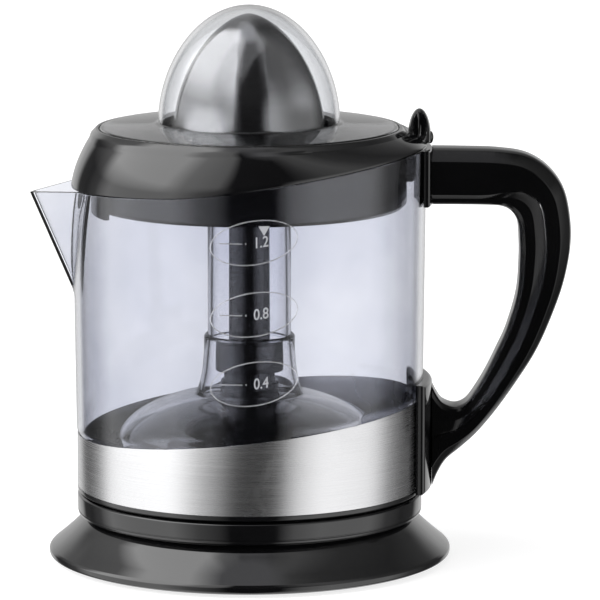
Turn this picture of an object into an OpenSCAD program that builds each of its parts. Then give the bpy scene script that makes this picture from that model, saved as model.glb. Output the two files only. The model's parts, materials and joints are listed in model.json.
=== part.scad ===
// Citrus press juicer: a motor base, a jug with a handle, a juice collector,
// a pressed reamer cone and a clear dust cover. Every lift-off piece is coaxial with Z.
// Z = 0 is the plane that the rubber foot ring stands on. +X is the handle, -X is the spout.

/* [Base] */
// Largest radius of the flared foot
foot_r = 82.8; // [78:0.2:88]
// Outer radius of the base body, its ring and the steel band
body_r = 71; // [70:0.5:72]
// Height where the flared foot meets the base body
foot_top_z = 18; // [17:0.5:19]
// Height of the seat that the jug stands on
seat_z = 28.6; // [28:0.2:29]

/* [Jug] */
// Outer radius of the jug at its upper rim
jug_top_r = 72.4; // [72:0.1:73]
// Thickness of the jug wall
jug_wall = 2.4; // [2:0.1:3]
// Height of the steel band's upper edge on the axis
band_mid_z = 60.2; // [56:0.5:64]
// Slope of the steel band's upper edge, in degrees
band_slope = 6.3; // [0:0.1:8]
// Distance from the axis to the tip of the spout
spout_r = 89; // [84:0.5:92]

/* [Collector and cover] */
// Height of the jug rim on the axis
rim_mid_z = 161.7; // [160:0.1:163]
// Slope of the jug rim and of the lid's lower edge, in degrees
rim_slope = 7.9; // [0:0.1:8]
// Height of the collector's upper rim
lid_top_z = 178.4; // [178:0.1:180]
// Outer radius of the clear dome at its foot
dome_r = 37.2; // [36:0.1:38]
// Height of the top of the dome
dome_top_z = 228.5; // [227:0.1:230]

/* [Cone] */
// Radius of the reamer cone at its foot
cone_r = 31; // [29:0.1:32]
// Height of the cone's tip
cone_top_z = 224.9; // [223:0.1:225.2]
// Depth of the scallops as a share of the radius
scallop = 0.2; // [0.05:0.01:0.25]

/* [Drive] */
// How far the cone and spindle go down when pressed
press_travel = 2; // [1:0.1:2]

/* [Hidden] */
$fn = 96;
gap = 0.3;          // between curved faces of pieces that come apart
eps = 0.01;
big = 400;

black = [0.05, 0.05, 0.055];
steel = [0.72, 0.72, 0.73];
clear = [0.82, 0.85, 0.93, 0.35];
natural = [0.87, 0.85, 0.77];
bronze = [0.75, 0.6, 0.3];

// base heights and radii
plate_z = 3;                    // underside of the base plate
plate_t = 2.2;
plate_r = 76.9;
plate_top_z = plate_z + plate_t;
foot_flange_t = 2.4;            // flange at the top of the foot, clamped under the housing
neck_r = 67;
clamp_r = 62.5;                 // circle of the four long screws that clamp the base together
clamp_angle = 45;
cord_z = 11;                    // height of the cord bush at the back
cord_r = 3.3;                   // bore for the cord
bush_shell_r = 5.45;            // outside of the cord bush
dome_base_z = 45;               // where the motor dome's curve starts
motor_dome_r = 51.5;
motor_dome_h = 20.5;
housing_wall = 2.2;
deck_z = 26.5;
column_r = 11.8;
column_top_z = 84.5;
column_step_z = 74;
column_neck_r = 10.5;
column_in_r = 7;

// drip cap on the spindle
drip_r = 14;
drip_foot_z = 78;
drip_top_z = 90;

// jug
jug_foot_z = 30.7;
jug_floor_z = 34;
bell_r = 55.6;
bell_z = 47;
bell_h = 23.5;
tube_step_z = 93;               // top of the socket that the tube stands in
tube_foot_z = 91.5;
tube_r = 17.1;
tube_wall = 2;
tube_top_z = 145;
band_recess = 0.6;              // step in the jug wall that the band lies in
spout_foot_z = 109;
spout_tip_z = 149.6;
spout_wall = 2.2;

// collector
skirt_r = 64.6;
skirt_foot_z = 145.6;
bowl_r = 62;
flank_r = 72.8;
rim_r = 62.6;
rim_in_r = 61.5;
bowl_top_z = 173.2;
ledge_z = 176.4;
ledge_r = 60.2;                 // inner edge of the ledge that the cover stands on
collar_r = 13.2;
collar_top_z = 170;
bush_r = 11;
stem_r = 9;

// cone
lid_levels = 8;
inner_levels = 5;
cone_foot_z = 174;
cone_curve_z = 176;
cone_steps = 14;
cone_wall = 0.8;
stem_foot_z = 150;

// spindle
rod_r = 4;
sleeve_r = 8.4;
hex_af = 11;
hex_top_z = 184;
rod_foot_z = 40;
rod_top_z = 150;

// press switch under the spindle
spring_foot_z = 24.1;
plunger_head_z = 36;
switch_z = 9;

// motor and gears: the idler and the rotor stand at these places
carrier_z = 42;
carrier_t = 2.5;
carrier_hub_z = 22.6;
carrier_post_r = 43;            // circle of the four posts that hold the carrier
gear_z = 46;                    // lower face of the large idler gear and the pinion
gear_t = 4;
gear_m = 0.8;                   // module
out_teeth = 50;
idler_small = 12;
idler_large = 44;
pinion_teeth = 11;
out_r = gear_m * out_teeth / 2;
small_r = gear_m * idler_small / 2;
large_r = gear_m * idler_large / 2;
pinion_r = gear_m * pinion_teeth / 2;
idler_d = out_r + small_r;
motor_d = 30;
mesh_d = large_r + pinion_r;
idler_a = 180 - acos((motor_d * motor_d + idler_d * idler_d - mesh_d * mesh_d)
                     / (2 * motor_d * idler_d));
idler_xy = idler_d * [cos(idler_a), sin(idler_a)];
motor_xy = [-motor_d, 0];
mesh_v = motor_xy - idler_xy;
mesh_a = atan2(mesh_v[1], mesh_v[0]);   // from the idler to the rotor

// motor: laminated core with one coil, between two sheet brackets
bracket_z = 6;
bracket_t = 1.5;
core_z = 10;
core_h = 14;
core_top_z = core_z + core_h;
upper_bracket_z = core_top_z + 4;
rotor_r = 11;
shaft_r = 1.6;
shaft_top_z = 50.5;
core_lo = [-44, -34];
core_hi = [-16, 14];
core_side = 4;                  // width of the core beside the coil's windows
core_holes = [for (x = [-11.5, 11.5], y = [-11.5, 11.5]) motor_xy + [x, y]];
coil_y0 = -30;
coil_y1 = -17;
limb = [-34, -26];              // the limb that carries the coil, between these x

// ---------- shared shapes ----------

module tube(r_out, r_in, z0, z1) {
    translate([0, 0, z0]) difference() {
        cylinder(r = r_out, h = z1 - z0);
        translate([0, 0, -1]) cylinder(r = r_in, h = z1 - z0 + 2);
    }
}

module disc(r, z0, z1) {
    translate([0, 0, z0]) cylinder(r = r, h = z1 - z0);
}

module box(lo, hi) {
    translate(lo) cube(hi - lo);
}

// everything above a plane through [0, 0, z] that rises towards +X by slope degrees
module above(z, slope) {
    translate([0, 0, z]) rotate([0, -slope, 0])
        translate([-big / 2, -big / 2, 0]) cube([big, big, big]);
}

module disc_at(p, r, z0, z1) {
    translate([p[0], p[1], 0]) disc(r, z0, z1);
}

// a hole at radius at_r on the X axis, for use under around()
module hole_at(at_r, r, z0, z1) {
    disc_at([at_r, 0], r, z0, z1);
}

// a round hole along Y from y0 to y1
module cross_hole(x, y0, y1, z, r) {
    translate([x, y0, z]) rotate([-90, 0, 0]) cylinder(r = r, h = y1 - y0);
}

module around(n, start = 0) {
    for (i = [0 : n - 1]) rotate([0, 0, start + i * 360 / n]) children();
}

// involute gear outline: stub teeth thinned for backlash
function inv(a) = tan(a) * 180 / PI - a;
function polar(r, a) = [r * cos(a), r * sin(a)];
module gear_2d(teeth, m) {
    pitch = m * teeth / 2;
    tip = pitch + 0.8 * m;
    root = pitch - 1.0 * m;
    base = pitch * cos(25);
    half = 90 / teeth * 0.88;                    // half the tooth's angle at the pitch circle
    start = max(base, root + 0.02);
    steps = 3;
    function flank_a(r) = half + inv(25) - inv(acos(min(1, base / r)));
    polygon([for (t = [0 : teeth - 1]) let (c = t * 360 / teeth) each concat(
        [polar(root, c - flank_a(start))],
        [for (k = [0 : steps]) let (r = start + (tip - start) * k / steps)
            polar(r, c - flank_a(r))],
        [for (k = [steps : -1 : 0]) let (r = start + (tip - start) * k / steps)
            polar(r, c + flank_a(r))],
        [polar(root, c + flank_a(start))])]);
}

// a loft of rings into one closed solid; every ring has the same number of points.
// closed = true joins the last ring to the first, as in a ring-shaped solid.
module loft(rings, closed = false) {
    n = len(rings[0]);
    m = len(rings);
    pts = [for (r = rings) each r];
    last = closed ? m : m - 1;
    side = [for (i = [0 : last - 1], j = [0 : n - 1])
        let (a = i * n + j, b = i * n + (j + 1) % n,
             c = ((i + 1) % m) * n + (j + 1) % n, d = ((i + 1) % m) * n + j)
        each [[a, b, c], [a, c, d]]];
    caps = closed ? [] : [[for (j = [n - 1 : -1 : 0]) j],
                          [for (j = [0 : n - 1]) (m - 1) * n + j]];
    polyhedron(points = pts, faces = concat(side, caps), convexity = 8);
}

// ---------- base ----------

module foot_shell() {
    slope_top = [67.9, foot_top_z];
    flange_z = foot_top_z - foot_flange_t;
    in_r = plate_r + 0.1;
    color(black) difference() {
        rotate_extrude() polygon([
            [foot_r - 2.8, 1.0], [foot_r - 0.9, 1.5], [foot_r - 0.2, 2.4], [foot_r, 3.3],
            [foot_r - 0.3, 4.4], [foot_r - 0.9, 5.2], slope_top, [59.5, foot_top_z],
            [59.5, flange_z], [slope_top[0] - 1.6, flange_z],
            [in_r, plate_top_z + 1.4], [in_r, 1.0]]);
        // hole for the cord bush at the back
        translate([0, 60, cord_z]) rotate([-90, 0, 0])
            cylinder(r = bush_shell_r + 0.05, h = 30);
        around(4, clamp_angle) hole_at(clamp_r, 1.7, flange_z - 1, foot_top_z + 1);
    }
}

module base_housing() {
    steps = 14;
    function arc(r, h, k) = [r * cos(k), dome_base_z + h * sin(k)];
    outer_end = acos(13.6 / motor_dome_r);
    inner_end = acos(11.8 / (motor_dome_r - housing_wall));
    post_z = carrier_z + carrier_t;
    color(black) difference() {
        union() {
            rotate_extrude() polygon(concat(
                // up the outside of the body, over the seat and up the motor dome
                [[neck_r, foot_top_z], [neck_r, 19.4], [69.2, 18.6], [70.5, 19.1],
                 [body_r, 20.2], [body_r - 0.35, 20.4], [body_r - 0.35, 20.7],
                 [body_r, 20.9], [body_r, 27.1], [body_r - 0.8, 27.8], [67.5, 27.8],
                 [67.5, seat_z], [62, seat_z], [62, deck_z], [motor_dome_r + 1, deck_z],
                 [motor_dome_r, deck_z + 1]],
                [for (i = [0 : steps]) arc(motor_dome_r, motor_dome_h, outer_end * i / steps)],
                [[12.6, 66.5], [column_r + 0.3, 69], [column_r, column_step_z],
                 [column_neck_r, column_step_z], [column_neck_r, column_top_z],
                 [column_in_r, column_top_z], [column_in_r, 64.6], [9, 63.2]],
                [for (i = [steps : -1 : 0])
                    arc(motor_dome_r - housing_wall, motor_dome_h - housing_wall,
                        inner_end * i / steps)],
                [[motor_dome_r - housing_wall, deck_z - 2], [neck_r - 2.4, deck_z - 2],
                 [neck_r - 2.4, foot_top_z]]));
            // posts that the gear carrier is screwed to, each with a web to the wall
            around(4) {
                disc_at([carrier_post_r, 0], 3.4, post_z, post_z + 6);
                box([carrier_post_r, -1.5, post_z], [carrier_post_r + 5, 1.5, post_z + 6]);
            }
            // bosses for the long screws that clamp foot and plate to the body
            around(4, clamp_angle)
                box([clamp_r - 3.6, -3.6, foot_top_z + 0.5],
                    [neck_r - 1.6, 3.6, deck_z - 1]);
        }
        around(4) hole_at(carrier_post_r, 1.2, post_z - 1, post_z + 4.5);
        around(4, clamp_angle) hole_at(clamp_r, 1.3, foot_top_z - 1, foot_top_z + 5);
    }
}

module base_plate() {
    color([0.09, 0.09, 0.1]) difference() {
        union() {
            disc(plate_r, plate_z, plate_top_z);
            // posts for the motor bracket, a block under the switch and posts at the screws
            for (p = core_holes) disc_at(p, 3, plate_z + 1, bracket_z);
            box([-5, -6, plate_z + 1], [17, 6, switch_z]);
            around(4, clamp_angle)
                disc_at([clamp_r, 0], 3.6, plate_z + 1, foot_top_z - foot_flange_t);
        }
        // cooling slots between the motor's posts
        for (y = [-32 : 6 : 10]) box([-38, y, plate_z - 1], [-22, y + 2.5, plate_top_z + 1]);
        around(4, clamp_angle) {
            hole_at(clamp_r, 1.7, plate_z - 1, foot_top_z);
            hole_at(clamp_r, 3.2, plate_z - 1, plate_top_z - 0.2);
        }
    }
}

module foot_ring() {
    color([0.12, 0.12, 0.12]) rotate_extrude() polygon([
        [70, 0], [74.6, 0], [75.2, 0.6], [75.2, plate_z], [69.4, plate_z], [69.4, 0.6]]);
}

module plate_screws() {
    color(steel) around(4, clamp_angle) translate([clamp_r, 0, 0]) difference() {
        union() {
            disc(2.9, plate_z + 0.2, plate_z + 2);
            disc(1.28, plate_z + 1.9, foot_top_z + 4.6);
        }
        // cross slot
        for (turn = [0, 90]) rotate([0, 0, turn])
            box([-2, -0.4, plate_z - 1], [2, 0.4, plate_z + 0.9]);
    }
}

// ---------- motor ----------

module stator_core() {
    color([0.45, 0.45, 0.47]) difference() {
        box([core_lo[0], core_lo[1], core_z], [core_hi[0], core_hi[1], core_top_z]);
        disc_at(motor_xy, rotor_r + 0.4, core_z - 1, core_top_z + 1);
        // two windows, left and right of the coil's limb
        for (x = [[core_lo[0] + core_side, limb[0]], [limb[1], core_hi[0] - core_side]])
            box([x[0], coil_y0, core_z - 1], [x[1], coil_y1, core_top_z + 1]);
        for (p = core_holes) disc_at(p, shaft_r, core_z - 1, core_top_z + 1);
    }
}

module limb_frame(grow_in, grow_out, y0, y1) {
    translate([0, y0, 0]) difference() {
        box([limb[0] - grow_out, 0, core_z - grow_out],
            [limb[1] + grow_out, y1 - y0, core_z + core_h + grow_out]);
        box([limb[0] - grow_in, -1, core_z - grow_in],
            [limb[1] + grow_in, y1 - y0 + 1, core_z + core_h + grow_in]);
    }
}

module coil_bobbin() {
    color(natural) {
        limb_frame(0.15, 1.0, coil_y0 + 0.2, coil_y1 - 0.2);
        limb_frame(0.95, 3.2, coil_y0 + 0.2, coil_y0 + 1.2);
        limb_frame(0.95, 3.2, coil_y1 - 1.2, coil_y1 - 0.2);
    }
}

module coil_winding() {
    color([0.72, 0.4, 0.2]) limb_frame(1.05, 3.0, coil_y0 + 1.25, coil_y1 - 1.25);
}

module bracket_plate(z, bearing_z0, bearing_z1) {
    color(steel) difference() {
        union() {
            box([core_lo[0], -core_hi[1], z], [core_hi[0], core_hi[1], z + bracket_t]);
            disc_at(motor_xy, 4.5, bearing_z0, bearing_z1);
        }
        disc_at(motor_xy, shaft_r + 0.05, 0, shaft_top_z);
        for (p = core_holes) disc_at(p, 1.6, z - 1, z + bracket_t + 1);
    }
}

module bracket_lower() {
    bracket_plate(bracket_z, bracket_z - 0.3, bracket_z + bracket_t + 1.1);
    color(steel) for (p = core_holes) translate([p[0], p[1], 0])
        tube(2.4, 1.6, bracket_z + bracket_t, core_z);
}

module bracket_upper() {
    bracket_plate(upper_bracket_z, upper_bracket_z - 1, upper_bracket_z + 4);
    color(steel) for (p = core_holes) translate([p[0], p[1], 0])
        tube(2.4, 1.6, core_top_z, upper_bracket_z);
}

module rotor_core() {
    color([0.6, 0.6, 0.62]) translate([motor_xy[0], motor_xy[1], 0]) {
        tube(rotor_r, shaft_r, core_z, core_top_z);
        tube(rotor_r - 1, shaft_r, core_z - 1, core_z);
        tube(rotor_r - 1, shaft_r, core_top_z, core_top_z + 1);
    }
}

module rotor_shaft() {
    color(steel) disc_at(motor_xy, shaft_r, bracket_z - 0.2, shaft_top_z);
}

module rotor_pinion() {
    color(natural) translate([motor_xy[0], motor_xy[1], gear_z])
        rotate([0, 0, mesh_a + 180]) difference() {
            linear_extrude(height = gear_t) gear_2d(pinion_teeth, gear_m);
            disc(shaft_r, -1, gear_t + 1);
        }
}

// ---------- gears and chassis ----------

module gear_carrier() {
    top_z = carrier_z + carrier_t;
    color([0.16, 0.16, 0.17]) difference() {
        union() {
            disc(47.5, carrier_z, top_z);
            disc(10.2, carrier_hub_z, carrier_z + 1);
        }
        // from the top: seat of the lower bush, hole for the rod, the bore that the
        // plunger and its spring work in, and the hole for the plunger's stem
        disc(6, rod_foot_z + 1, top_z + 1);
        disc(rod_r + 0.4, rod_foot_z, rod_foot_z + 2);
        disc(7, spring_foot_z, rod_foot_z + 0.2);
        disc(3, carrier_hub_z - 1, spring_foot_z + 1);
        disc_at(idler_xy, 1.5, carrier_z - 1, top_z + 1);
        disc_at(motor_xy, 3, carrier_z - 1, top_z + 1);
        around(4) hole_at(carrier_post_r, 1.5, carrier_z - 1, top_z + 1);
        // windows that lighten the disc, clear of the idler and the motor
        for (turn = [20, 70, 250]) rotate([0, 0, turn])
            box([22, -7, carrier_z - 1], [37, 7, top_z + 1]);
    }
}

module carrier_screws() {
    color(steel) around(4) translate([carrier_post_r, 0, 0]) {
        disc(2.6, carrier_z - 1.8, carrier_z);
        disc(1.18, carrier_z - 0.1, carrier_z + 6.5);
    }
}

module upper_bush() {
    color(bronze) tube(column_in_r - 0.02, rod_r + 0.05, column_step_z, column_top_z - 0.5);
}

module lower_bush() {
    color(bronze) tube(5.98, rod_r + 0.05, rod_foot_z + 1.05, 48);
}

module idler_axle() {
    color(steel) disc_at(idler_xy, 1.5, carrier_z, 58.6);
}

module idler_gear() {
    small_z = gear_z + gear_t;
    color(natural) translate([idler_xy[0], idler_xy[1], 0]) difference() {
        union() {
            // the large gear has a gap facing the rotor
            translate([0, 0, gear_z]) rotate([0, 0, mesh_a + 180 / idler_large])
                linear_extrude(height = gear_t) gear_2d(idler_large, gear_m);
            // the small gear has a gap facing the spindle
            translate([0, 0, small_z]) rotate([0, 0, idler_a + 180 + 180 / idler_small])
                linear_extrude(height = 2 * gear_t) gear_2d(idler_small, gear_m);
            disc(3, carrier_z + carrier_t + 0.2, gear_z);
        }
        disc(1.55, carrier_z, small_z + 2 * gear_t + 1);
    }
}

module output_gear() {
    low_z = gear_z + 7.5;
    hub_drop = 1.2;             // stays clear of the large idler gear when pressed down
    color(natural) difference() {
        union() {
            translate([0, 0, low_z]) rotate([0, 0, idler_a])
                linear_extrude(height = gear_t) gear_2d(out_teeth, gear_m);
            disc(7.5, low_z - hub_drop, low_z + 6.5);
        }
        disc(rod_r, low_z - 3, low_z + 8);
        around(6) hole_at(13, 3.4, low_z - 1, low_z + gear_t + 1);
    }
}

module spindle_rod() {
    color(steel) disc(rod_r, rod_foot_z, rod_top_z);
}

module spindle_sleeve() {
    hex_foot_z = 146;
    tip_h = 1.2;
    color(black) difference() {
        union() {
            disc(sleeve_r, drip_top_z, hex_foot_z);
            translate([0, 0, hex_foot_z])
                cylinder(r = hex_af / sqrt(3), h = hex_top_z - tip_h - hex_foot_z, $fn = 6);
            disc(hex_af / 2 - 0.4, hex_top_z - tip_h - eps, hex_top_z);
        }
        disc(rod_r, drip_top_z - 1, rod_top_z);
    }
}

module drip_cap() {
    color(black) difference() {
        union() {
            disc(drip_r, drip_foot_z, drip_top_z - 0.8);
            disc(drip_r - 0.8, drip_top_z - 1, drip_top_z);
        }
        disc(drip_r - 1.6, drip_foot_z - 1, drip_top_z - 2.7);
        disc(rod_r, drip_foot_z, drip_top_z + 1);
    }
}

// ---------- press switch ----------

module press_plunger() {
    color(natural) {
        disc(6.7, plunger_head_z, rod_foot_z - 0.02);
        disc(2.5, carrier_hub_z - 0.5, plunger_head_z + eps);
    }
}

module return_spring() {
    turns = 4;
    sides = 8;
    per_turn = 16;
    wire = 0.45;
    mean = 4.6;
    z0 = spring_foot_z + wire;
    z1 = plunger_head_z - wire;
    count = turns * per_turn;
    color(steel) loft([for (i = [0 : count]) let (a = 360 * i / per_turn,
                                                  z = z0 + (z1 - z0) * i / count)
        [for (k = [0 : sides - 1]) let (b = 360 * k / sides, r = mean + wire * cos(b))
            [r * cos(a), r * sin(a), z + wire * sin(b)]]]);
}

module switch_body() {
    color([0.2, 0.2, 0.22]) difference() {
        box([-4, -3.2, switch_z], [15, 3.2, 19.5]);
        disc(1.6, 15, 21);
        for (x = [3.5, 12]) cross_hole(x, -5, 5, 12, 1.1);
    }
}

module switch_button() {
    color([0.8, 0.15, 0.12]) disc(1.5, 17.2, 22.0);
}

module terminal_block() {
    color([0.9, 0.9, 0.88]) difference() {
        box([24, 24, plate_top_z], [44, 36, plate_top_z + 9]);
        for (x = [29, 39]) {
            cross_hole(x, 20, 40, plate_top_z + 4.8, 1.8);
            disc_at([x, 30], 1.6, plate_top_z + 5.8, plate_top_z + 10);
        }
    }
}

module cord_bush() {
    color([0.1, 0.1, 0.1]) translate([0, 0, cord_z]) rotate([-90, 0, 0]) difference() {
        union() {
            disc(bush_shell_r, 64, 79.6);
            translate([0, 0, 79.6]) cylinder(r1 = bush_shell_r, r2 = bush_shell_r - 0.65, h = 1);
        }
        disc(cord_r, 60, 90);
    }
}

module cord_clamp() {
    color(natural) difference() {
        box([-9, 50, plate_top_z], [9, 58, cord_z + 4.7]);
        cross_hole(0, 48, 60, cord_z, cord_r - 0.1);
        for (x = [-6.2, 6.2]) disc_at([x, 54], 1.2, plate_top_z - 1, cord_z + 6);
    }
}

// ---------- jug ----------

// outside radius of the jug wall at height z
function jug_r(z) = body_r + (jug_top_r - body_r) * (z - jug_foot_z) / (160 - jug_foot_z);

// outer wall with the spout, cut off at the sloping rim and stepped for the steel band
module jug_wall() {
    top_z = 176;
    foot_in_r = body_r - jug_wall - band_recess;
    color(clear) difference() {
        union() {
            rotate_extrude() polygon([[0, jug_foot_z], [jug_r(jug_foot_z), jug_foot_z],
                                      [jug_r(top_z), top_z], [0, top_z]]);
            spout(0);
        }
        rotate_extrude() polygon([[0, jug_foot_z - 1], [foot_in_r, jug_foot_z - 1],
                                  [jug_r(top_z) - jug_wall, top_z + 1], [0, top_z + 1]]);
        spout(spout_wall);
        above(rim_mid_z, rim_slope);
        difference() {
            tube(body_r + 5, body_r - band_recess, jug_foot_z - 1, 90);
            above(band_mid_z + 0.1, band_slope);
        }
    }
}

// floor, bell over the motor dome and socket for the tube, welded into the wall
module jug_well() {
    steps = 12;
    function bell(r, h, k) = [r * cos(k), bell_z + h * sin(k)];
    lower_r = 18.7;
    floor_r = body_r - jug_wall - 0.4;
    flare = [[21.6, 69.8], [20.4, 73], [19.4, 78], [lower_r, 86]];
    out_end = acos(22.4 / bell_r);
    in_r = bell_r - 2.2;
    in_end = acos(20 / in_r);
    color(clear) rotate_extrude() polygon(concat(
        [[floor_r, jug_floor_z - 2.2], [floor_r, jug_floor_z + 1], [66.5, jug_floor_z],
         [58.5, jug_floor_z], [56.6, jug_floor_z + 1.2], [bell_r + 0.2, jug_floor_z + 3]],
        [for (i = [0 : steps]) bell(bell_r, bell_h, out_end * i / steps)],
        flare,
        [[lower_r, tube_step_z - 1], [lower_r - 0.6, tube_step_z], [tube_r + 0.02, tube_step_z],
         [tube_r + 0.02, tube_foot_z - 0.02], [lower_r - tube_wall, tube_foot_z - 0.02]],
        [for (i = [len(flare) - 1 : -1 : 0]) flare[i] - [tube_wall, 0.6]],
        [for (i = [steps : -1 : 0]) bell(in_r, bell_h - 2.3, in_end * i / steps)],
        [[in_r, jug_floor_z - 2.2]]));
}

// a V-shaped spout: a leaning prism whose edge runs from the jug wall out to the tip
module spout(inset) {
    root_x = body_r + 0.5;
    lean = atan2(spout_r - root_x, spout_tip_z - spout_foot_z);
    reach = 34;
    half_width = reach / cos(lean);     // the sides open at 45 degrees seen from above
    intersection() {
        translate([inset * sqrt(2) - root_x, 0, spout_foot_z]) rotate([0, -lean, 0])
            translate([0, 0, -12]) linear_extrude(height = 90)
                polygon([[0, 0], [reach, -half_width], [reach, half_width]]);
        box([-120, -60, spout_foot_z - 8], [-60, 60, 190]);
    }
}

// tube round the spindle, bonded into the socket of the well
module jug_tube() {
    color(clear) tube(tube_r, tube_r - tube_wall, tube_foot_z, tube_top_z);
}

module jug_base_ring() {
    color(black) rotate_extrude() polygon([
        [61, seat_z], [body_r - 0.5, seat_z], [body_r, seat_z + 0.4],
        [body_r, jug_foot_z - 0.05], [65, jug_foot_z - 0.05], [65, 31.7], [61, 31.7]]);
}

module steel_band() {
    color(steel) difference() {
        tube(body_r, body_r - 0.55, jug_foot_z, 90);
        above(band_mid_z, band_slope);
    }
}

// ---------- handle ----------

// stations along the handle from the lid down to the foot: inner [x, z], outer [x, z]
handle_line = [
    [[73.2, 147.3], [73.6, 170.5]], [[84, 147.3], [88, 170.3]], [[97, 147.1], [102, 169.8]],
    [[103.4, 146.5], [113.5, 167.8]], [[107.4, 144.2], [122.5, 162.2]],
    [[109.8, 139.8], [128.6, 153.6]], [[110.5, 132.5], [131.3, 142]],
    [[110.6, 124], [131.6, 130]], [[109.6, 110.5], [128.9, 114.9]],
    [[105.6, 96], [123.8, 100]], [[101.2, 86], [117.8, 86.5]], [[96.9, 77.2], [110.2, 74.2]],
    [[92.6, 69.9], [101.5, 61.8]], [[88.8, 65], [93.5, 52.2]], [[84.4, 63.4], [86.8, 46]],
    [[79.6, 65.1], [81, 41]], [[77, 68.4], [77.6, 35.5]], [[75, 72.4], [75.2, 29.5]]];
handle_half = 11.5;             // half the handle's width
handle_seam = 0.46;             // where the two halves meet, as a share from inner to outer
handle_root_r = 75.2;           // radius that the handle's ends are cut to
lower_screws = [38, 62];        // heights of the screws into the handle
upper_screws = [154, 164];

// a smooth curve through the stations, four steps between each pair
function spline(a, b, c, d, t) =
    0.5 * (2 * b + (c - a) * t + (2 * a - 5 * b + 4 * c - d) * t * t
           + (3 * b - 3 * c + d - a) * t * t * t);
function station(i) = handle_line[min(max(i, 0), len(handle_line) - 1)];
function line_at(side) = [for (i = [0 : len(handle_line) - 2], k = [0 : 3])
    spline(station(i - 1)[side], station(i)[side], station(i + 1)[side],
           station(i + 2)[side], k / 4)];
// one section: across holds [share, half width] pairs on one side, mirrored to the other
function section(inner, outer, across) =
    concat([for (p = across) let (q = inner + (outer - inner) * p[0]) [q[0], -p[1], q[1]]],
           [for (i = [len(across) - 1 : -1 : 0]) let (p = across[i],
               q = inner + (outer - inner) * p[0]) [q[0], p[1], q[1]]]);

module handle_part(across) {
    inner = line_at(0);
    outer = line_at(1);
    n = len(inner);
    loft([for (i = [0 : n - 1]) section(inner[i], outer[i], across)]);
}

module handle_outer() {
    color(black) difference() {
        handle_part([[handle_seam, handle_half], [0.8, handle_half],
                     [0.94, handle_half - 3], [1, handle_half - 7]]);
        disc(handle_root_r, 0, 200);
    }
}

module handle_inner() {
    color([0.1, 0.1, 0.105]) difference() {
        handle_part([[0, handle_half - 5], [0.1, handle_half - 2.4], [0.2, handle_half - 1.2],
                     [handle_seam - 0.01, handle_half - 0.8]]);
        disc(handle_root_r, 0, 200);
    }
}

module wall_pad(r_in, r_out, half_angle, z0, z1) {
    intersection() {
        tube(r_out, r_in, z0, z1);
        linear_extrude(height = 220) polygon([
            [0, 0], 100 * [cos(half_angle), -sin(half_angle)],
            100 * [cos(half_angle), sin(half_angle)]]);
    }
}

// a pad on the jug wall, with two holes for the screws into the handle
module handle_bracket(r_in, half_angle, z0, z1, screws) {
    color(black) difference() {
        wall_pad(r_in, handle_root_r - 0.05, half_angle, z0, z1);
        for (z = screws) translate([0, 0, z]) rotate([0, 90, 0]) disc(1.55, r_in - 2, 80);
    }
}

module handle_upper_bracket() {
    handle_bracket(72.55, 12, 147.3, 170.4, upper_screws);
}

module handle_lower_bracket() {
    handle_bracket(71.5, 18, 29.4, 75, lower_screws);
}

module handle_screws() {
    color(steel) for (z = concat(lower_screws, upper_screws))
        translate([0, 0, z]) rotate([0, 90, 0]) disc(1.5, 73.2, handle_root_r + 3);
}

// ---------- collector ----------

lid_turn = [for (a = [0 : 5 : 355]) a];
function lid_low(a, r) = rim_mid_z + gap + tan(rim_slope) * r * cos(a);
// one ring of the flank: a share t of the way from the lower edge up to top_z,
// while the radius closes in from r_low to r_top
function lid_ring(t, r_low, r_top, top_z) = [for (a = lid_turn)
    let (r = r_top + (r_low - r_top) * (1 - pow(t, 1.6)),
         low = lid_low(a, r_low))
    [r * cos(a), r * sin(a), low + (top_z - low) * t]];
function flat_ring(r, z) = [for (a = lid_turn) [r * cos(a), r * sin(a), z]];

// sloping outer collar of the lid, with the rim and the ledge that hold the cover
module lid_rim() {
    color(black) {
        loft(concat(
            [for (i = [0 : lid_levels])
                lid_ring(i / lid_levels, flank_r, rim_r, lid_top_z)],
            [flat_ring(rim_in_r, lid_top_z), flat_ring(rim_in_r, ledge_z),
             flat_ring(ledge_r, ledge_z), flat_ring(ledge_r, bowl_top_z + 0.8),
             flat_ring(61, bowl_top_z)],
            [for (i = [inner_levels : -1 : 0])
                lid_ring(i / inner_levels, flank_r - 2.4, skirt_r + gap, bowl_top_z)]),
            closed = true);
    }
}

// juice bowl that hangs in the jug under the collar
module collector() {
    plug_foot_z = 140;
    lip_z = 147.4;              // lip that stops the cone's clip
    color(black) difference() {
        union() {
            rotate_extrude() polygon([
                [skirt_r, bowl_top_z], [skirt_r, skirt_foot_z + 1.6],
                [skirt_r - 0.8, skirt_foot_z + 0.4], [skirt_r - 2, skirt_foot_z],
                [14.7, skirt_foot_z], [14.7, plug_foot_z + 0.4], [14.1, plug_foot_z],
                [9.7, plug_foot_z], [9.7, lip_z], [bush_r + 0.05, lip_z],
                [bush_r + 0.05, collar_top_z], [collar_r, collar_top_z],
                [collar_r + 0.8, skirt_foot_z + 2.2], [bowl_r - 2, skirt_foot_z + 2.2],
                [bowl_r, skirt_foot_z + 4], [bowl_r, 165.5], [57.5, 166.3], [57.5, 168],
                [bowl_r, 168], [bowl_r, bowl_top_z]]);
            // tab at the spout side and tongue at the handle side
            sector(skirt_r, skirt_r - 2.2, 180, 27, 142.7, skirt_foot_z + 3);
            sector(68.4, skirt_r - 1, 0, 16, 158.5, 168);
        }
        // four wide outlets in the bowl's floor, with spokes between them
        around(4) sector(57, 20, 0, 36, skirt_foot_z - 1, skirt_foot_z + 3);
    }
}

module sector(r_out, r_in, mid, half_angle, z0, z1) {
    rotate([0, 0, mid]) wall_pad(r_in, r_out, half_angle, z0, z1);
}

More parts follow.
